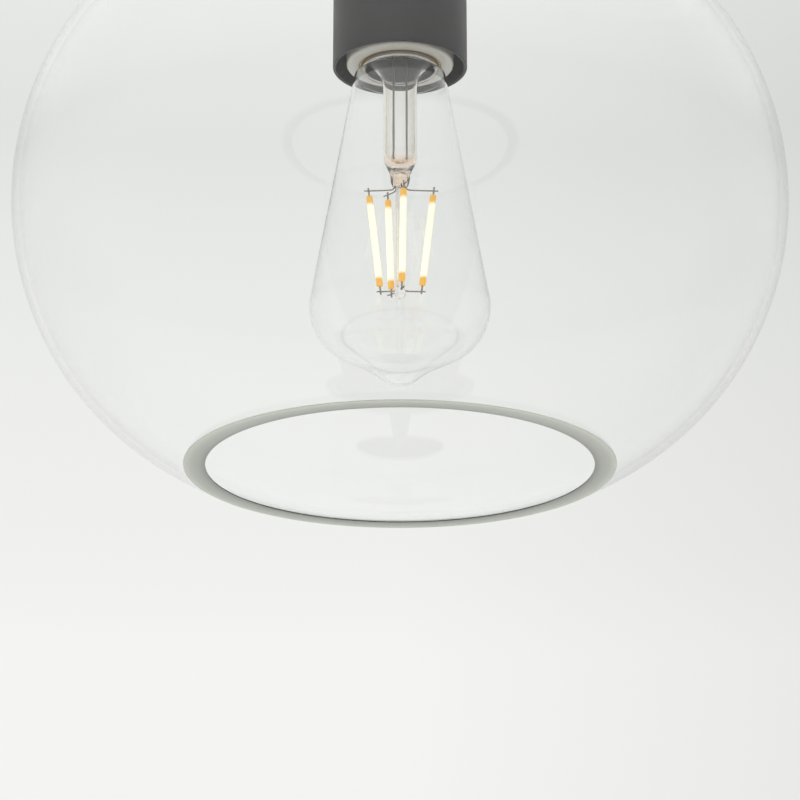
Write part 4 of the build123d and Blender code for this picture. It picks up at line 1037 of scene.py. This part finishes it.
class PENDANT_OT_glass_clamp(bpy.types.Operator):
    """Spins the flared cover above the glass and the two silicone gaskets."""

    bl_idname = "pendant.glass_clamp"
    bl_label = "Glass Clamp"

    def execute(self, context):
        settings = context.scene.pendant_light
        hardware, globe = settings.hardware, settings.globe
        low, high, radius = reach("glass_cover")
        neck, wall, bore = hardware.cover_neck, hardware.cover_wall, hardware.nipple_hole
        inner_rim = radius - 4.5 * MM
        curves = []
        for inset, end in ((0.0, (radius, low + 2.2 * MM)), (wall, (inner_rim, low + 1.0 * MM))):
            start = (neck - inset, high - 4.0 * MM)
            waist = (start[0] + 0.36 * (radius - neck), low + (high - low) / 3 - inset * 0.8)
            curves.append(flare(start, waist, end))
        outline = [(bore, high), (neck - 1.5 * MM, high)]
        outline += rounded((neck, high), 1.5 * MM, pi / 2, 0.0, 6)
        outline += curves[0]
        outline += rounded((radius, low), 0.5 * MM, 0.0, -pi / 2, 5)
        outline += steps((inner_rim, low), (0.2, 0.0), (0.0, 0.2))
        outline += curves[1][::-1]
        outline += [(neck - wall, high - 2.4 * MM), (bore, high - 2.4 * MM)]
        cover = spun("glass_cover_spun", outline, hardware.facets)
        finish_piece(cover, "hanging_set", "black_metal", "glass_cover", powder_coat(settings.colours))

        _, centre_z, _, crown_offset, _ = globe_levels(globe)

        def along_glass(outer, inner, inset, lift):
            """Points from one radius in to another that keep a distance from a surface of the glass."""
            radii = [inner + (outer - inner) * (1 - i / 6) for i in range(7)]
            arc_radius, level = globe.crown_arc - inset, centre_z - crown_offset + lift
            return [(at, level + sqrt(arc_radius**2 - at**2)) for at in radii]

        rubber = silicone(settings.colours)
        low, high, radius = reach("outer_gasket")
        inner = hardware.gasket_hole
        outline = [(inner + 0.2 * MM, high), *steps((radius, high), (-0.2, 0.0), (0.0, -0.2))]
        outline += along_glass(radius, inner, 0.0, 0.02 * MM) + [(inner, high - 0.2 * MM)]
        gasket = spun("gasket_over_glass", outline, hardware.facets)
        finish_piece(gasket, "hanging_set", "silicone", "outer_gasket", rubber)

        low, high, radius = reach("inner_gasket")
        lip = globe.hole - 0.1 * MM
        outline = [(bore, low), *steps((radius, low), (-0.3, 0.0), (0.0, 0.3))]
        outline += along_glass(radius, lip, globe.wall, -0.03 * MM) + [(lip, high), (bore, high)]
        washer = spun("gasket_under_glass", outline, hardware.facets)
        finish_piece(washer, "hanging_set", "silicone", "inner_gasket", rubber)
        return {"FINISHED"}


def pan_wall(radius, base, lip, sheet, corner, up, counts):
    """A spun pan's rounded corner, rolled lip and inner corner; up is 1 with the lip on top, or -1."""
    outer_start, inner_end = (-up * pi / 2, 0.0), (0.0, -up * pi / 2)
    points = rounded((radius, base), corner, *outer_start, counts[0])
    points += arc((radius - sheet / 2, lip - up * sheet / 2), sheet / 2, 0.0, up * pi, 10)
    points += [(radius - sheet, base + up * corner)]
    centre = (radius - corner, base + up * corner)
    return points + arc(centre, corner - sheet, *inner_end, counts[1])


class PENDANT_OT_socket_cup(bpy.types.Operator):
    """Spins the deep cup round the lampholder, with its rounded top and rolled lip."""

    bl_idname = "pendant.socket_cup"
    bl_label = "Socket Cup"

    def execute(self, context):
        settings = context.scene.pendant_light
        hardware = settings.hardware
        low, high, radius = reach("socket_cup")
        hole, sheet, corner = hardware.nipple_hole, hardware.sheet, hardware.cup_corner
        outline = [(hole, high), (radius - corner, high)]
        outline += pan_wall(radius, high, low, sheet, corner, -1, (10, 8))
        cup = spun("socket_cup_spun", outline + [(hole, high - sheet)], hardware.facets)
        finish_piece(cup, "hanging_set", "black_metal", "socket_cup", powder_coat(settings.colours))
        return {"FINISHED"}


class PENDANT_OT_lampholder(bpy.types.Operator):
    """Makes the porcelain lampholder with its screw shell, contact, bracket, screws, washer and nut."""

    bl_idname = "pendant.lampholder"
    bl_label = "Lampholder"

    def execute(self, context):
        settings = context.scene.pendant_light
        colours, hardware = settings.colours, settings.hardware
        low, high, radius = reach("holder_body")
        bore, ceiling = hardware.holder_bore, high - hardware.holder_web
        foot = radius - 0.6 * MM
        outline = [(0.0, high), (radius - 1.8 * MM, high)]
        outline += rounded((radius, high), 1.8 * MM, pi / 2, 0.0, 8)
        outline += [(radius, low + 8.0 * MM), (foot, low + 7.0 * MM), (foot, low + 1.2 * MM)]
        outline += rounded((foot, low), 1.2 * MM, 0.0, -pi / 2, 6)
        outline += rounded((bore, low), 0.8 * MM, -pi / 2, -pi, 6)
        outline += [(bore, ceiling), (0.0, ceiling)]
        body = spun("lampholder_porcelain", outline, 96, closed=False, smooth_angle=40.0)
        finish_piece(body, "hanging_set", "porcelain", "holder_body", porcelain(colours))

        brass, zinc = brass_sheet(colours), zinc_plate(colours)
        rows = (
            ("lampholder_shell", "screw_shell", 0.0, "brass", brass),
            ("lampholder_contact", "centre_contact", 0.12, "brass", brass),
            ("lampholder_terminals", "terminal_screws", 0.15, "brass", brass),
            ("lampholder_bracket", "holder_bracket", 0.2, "zinc_steel", zinc),
            ("lampholder_screws", "bracket_screws", 0.15, "zinc_steel", zinc),
            ("nipple_washer", "nipple_lock_washer", 0.1, "zinc_steel", zinc),
            ("nipple_nut", "nipple_hex_nut", 0.2, "zinc_steel", zinc),
        )
        dress(rows, "hanging_set")
        return {"FINISHED"}


class PENDANT_OT_rods(bpy.types.Operator):
    """Spins the two rods and cuts the threads of the nipples that join them."""

    bl_idname = "pendant.rods"
    bl_label = "Rods"

    def execute(self, context):
        settings = context.scene.pendant_light
        hardware = settings.hardware
        coat, zinc = powder_coat(settings.colours), zinc_plate(settings.colours)
        bore, cut = hardware.rod_bore, hardware.rod_chamfer
        for name, source in (("rod_above", "upper_rod"), ("rod_below", "lower_rod")):
            low, high, radius = reach(source)
            outline = [(bore, low), (radius - cut, low), (radius, low + cut)]
            outline += [(radius, high - cut), (radius - cut, high), (bore, high)]
            finish_piece(spun(name, outline, 64), "hanging_set", "black_metal", source, coat)
        for name, source in (("nipple_between_rods", "rod_nipple"), ("nipple_at_lamp", "lamp_nipple")):
            low, high, radius = reach(source)
            nipple = threaded(name, radius, 0.94 * MM, 0.45 * MM, low, high, bore=hardware.nipple_bore)
            finish_piece(nipple, "hanging_set", "zinc_steel", source, zinc)
        return {"FINISHED"}


class PENDANT_OT_swivel(bpy.types.Operator):
    """Makes the hang-straight swivel: seat, washer, nut, yoke, snap ring, knuckle and their screws."""

    bl_idname = "pendant.swivel"
    bl_label = "Swivel"

    def execute(self, context):
        settings = context.scene.pendant_light
        hardware = settings.hardware
        edge = hardware.edge / MM
        coat, zinc = powder_coat(settings.colours), zinc_plate(settings.colours)
        low, high, radius = reach("swivel_seat")
        bore, neck, flange_z = hardware.seat_bore, hardware.seat_neck, low + hardware.seat_flange
        outline = [(bore, low), (radius - 0.8 * MM, low)]
        outline += rounded((radius, low), 0.8 * MM, -pi / 2, 0.0, 6)
        outline += [(radius, flange_z), (neck, flange_z), *steps((neck, high), (0.0, -0.4), (-0.4, 0.0))]
        seat = spun("swivel_seat_turned", outline + [(bore, high)], 96)
        finish_piece(seat, "ceiling_set", "black_metal", "swivel_seat", coat)
        washer = ("lock_washer_toothed", "seat_tooth_washer", 0.1, "zinc_steel", zinc)
        nut = ("seat_nut", "seat_hex_nut", 0.25, "zinc_steel", zinc)
        dress((washer, nut), "ceiling_set")
        yoke = ("yoke_forged", "swivel_yoke", edge, "black_metal", coat)
        ring = ("yoke_snap_ring", "yoke_clip", 0.12, "spring_steel", spring_steel())
        dress((yoke, ring), "yoke")
        knuckle = ("knuckle_turned", "swivel_knuckle", edge, "black_metal", coat)
        pivots = ("pivot_screw_pair", "pivot_screws", 0.15, "black_metal", coat)
        set_screw = ("rod_set_screw", "knuckle_set_screw", 0.1, "black_metal", coat)
        dress((knuckle, pivots, set_screw), "hanging_set")
        return {"FINISHED"}


class PENDANT_OT_canopy(bpy.types.Operator):
    """Makes the spun canopy, its knurled cap nuts, the threaded studs, the strap and the screws on it."""

    bl_idname = "pendant.canopy"
    bl_label = "Canopy"

    def execute(self, context):
        settings = context.scene.pendant_light
        colours, hardware = settings.colours, settings.hardware
        coat, zinc = powder_coat(colours), zinc_plate(colours)
        low, high, radius = reach("canopy")
        hole, sheet, corner = hardware.canopy_hole, hardware.sheet, hardware.canopy_corner
        outline = [(hole, low), (radius - corner, low)]
        outline += pan_wall(radius, low, high, sheet, corner, 1, (14, 10))
        canopy = spun("canopy_spun", outline + [(hole, low + sheet)], 128)
        finish_piece(canopy, "ceiling_set", "black_metal", "canopy", coat)

        cap_low, cap_high, _ = reach("canopy_cap_nuts")
        flange, dome = hardware.cap_nut_flange, hardware.cap_nut_dome
        stud_x, facets, band_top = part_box("canopy_cap_nuts")[1].x - flange, 48, cap_high - 1.9 * MM
        nuts = []
        for middle in (-stud_x, stud_x):
            outline = [(0.0, cap_high), *steps((flange, cap_high), (-0.25, 0.0), (0.0, -0.25), (0.0, -1.0))]
            outline += [(dome, band_top), (dome, cap_low + dome)]
            outline += arc((0.0, cap_low + dome), dome, 0.0, -pi / 2, 12)
            nut = spun("cap_nut", outline, facets, closed=False, at=(middle, 0.0))

            def every_other(index, face):
                """Whether a face is in the knurled band and in every second place round it."""
                around = (atan2(face.center.y, face.center.x - middle) + pi) / (2 * pi)
                upright = abs(face.normal.z) < 0.05 and face.center.z < band_top
                return upright and int(around * facets) % 2 == 0

            select_faces(nut, every_other)
            bpy.ops.mesh.inset(thickness=0.04 * MM, depth=-0.16 * MM, use_individual=True)
            bpy.ops.object.mode_set(mode="OBJECT")
            nuts.append(nut)
        pair = joined("cap_nuts_knurled", nuts)
        finish_piece(pair, "ceiling_set", "black_metal", "canopy_cap_nuts", coat)

        low, high, _ = reach("canopy_studs")
        studs = []
        for middle in (-stud_x, stud_x):
            place = (middle, 0.0)
            studs.append(threaded("stud", hardware.stud, 0.8 * MM, 0.3 * MM, low, high, at=place))
        finish_piece(joined("studs_threaded", studs), "ceiling_set", "zinc_steel", "canopy_studs", zinc)
        rows = (
            ("strap_pressed", "mounting_strap", 0.25, "zinc_steel", zinc),
            ("stud_nuts", "stud_lock_nuts", 0.15, "zinc_steel", zinc),
            ("green_screw", "ground_screw", 0.12, "ground_green", green_paint(colours)),
        )
        dress(rows, "ceiling_set")
        return {"FINISHED"}


class PENDANT_OT_wiring(bpy.types.Operator):
    """Finishes the leads and makes the ribbed twist-on connectors."""

    bl_idname = "pendant.wiring"
    bl_label = "Wiring"

    def execute(self, context):
        settings = context.scene.pendant_light
        hardware = settings.hardware
        black, white = pvc("black_pvc", "#1d1d1f"), pvc("white_pvc", "#e6e5df")
        for place, body in (("rod", "hanging_set"), ("canopy", "ceiling_set")):
            hot = (f"lead_hot_{place}", f"hot_{place}_lead", 0.0, "black_insulation", black)
            neutral = (f"lead_neutral_{place}", f"neutral_{place}_lead", 0.0, "white_insulation", white)
            dress((hot, neutral), body, 60.0)

        low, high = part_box("wire_connectors")
        start_y = hardware.connector_start
        wide, level = (high.z - low.z) / 2, (high.z + low.z) / 2
        deep = high.y - start_y
        shells = []
        for side in (-1, 1):
            start_clean()
            bpy.ops.mesh.primitive_cone_add(
                vertices=24,
                radius1=wide,
                radius2=0.62 * wide,
                depth=deep,
                location=(side * hardware.connector_shift, side * (start_y + deep / 2), level),
                rotation=(-side * pi / 2, 0.0, 0.0),
            )
            shell = context.object
            bpy.ops.object.transform_apply(location=True, rotation=True, scale=True)
            # Every second side sinks in, which leaves the ribs; then both ends are rounded.
            select_faces(shell, lambda index, face: abs(face.normal.y) < 0.7 and index % 2 == 0)
            bpy.ops.mesh.inset(thickness=0.25 * MM, depth=-0.28 * MM, use_individual=True)
            select_faces(shell, lambda index, face: abs(face.normal.y) > 0.9 and face.area > 10 * MM * MM)
            bpy.ops.mesh.bevel(offset=0.5 * MM, segments=3)
            close_up(shell, 35.0)
            shells.append(shell)
        pair = joined("twist_connectors", shells)
        nylon = connector_nylon(settings.colours)
        finish_piece(pair, "ceiling_set", "connector_orange", "wire_connectors", nylon)
        return {"FINISHED"}


OPERATORS = (
    PENDANT_OT_stage,
    PENDANT_OT_glass_globe,
    PENDANT_OT_lamp_envelope,
    PENDANT_OT_lamp_stem,
    PENDANT_OT_lamp_filaments,
    PENDANT_OT_lamp_base,
    PENDANT_OT_glass_clamp,
    PENDANT_OT_socket_cup,
    PENDANT_OT_lampholder,
    PENDANT_OT_rods,
    PENDANT_OT_swivel,
    PENDANT_OT_canopy,
    PENDANT_OT_wiring,
)


class PENDANT_PT_pieces(bpy.types.Panel):
    """Lists the settings and the operators in the sidebar."""

    bl_idname = "PENDANT_PT_pieces"
    bl_label = "Pendant Light"
    bl_space_type = "VIEW_3D"
    bl_region_type = "UI"
    bl_category = "Pendant Light"

    def draw(self, context):
        settings = context.scene.pendant_light
        for group in (settings.globe, settings.lamp, settings.hardware, settings.colours, settings.stage):
            box = self.layout.box()
            for name in group.bl_rna.properties.keys():
                if name not in ("rna_type", "name"):
                    box.prop(group, name)
        for operator in OPERATORS:
            self.layout.operator(operator.bl_idname)


CLASSES = (
    GlobeSizes,
    LampSizes,
    HardwareSizes,
    LightColours,
    StageSettings,
    PendantLight,
    *OPERATORS,
    PENDANT_PT_pieces,
)


def register():
    for made in CLASSES:
        bpy.utils.register_class(made)
    bpy.types.Scene.pendant_light = PointerProperty(type=PendantLight)


def unregister():
    del bpy.types.Scene.pendant_light
    for made in reversed(CLASSES):
        bpy.utils.unregister_class(made)


def main():
    register()
    for operator in OPERATORS:
        family, action = operator.bl_idname.split(".")
        getattr(getattr(bpy.ops, family), action)()


if __name__ == "__main__":
    main()
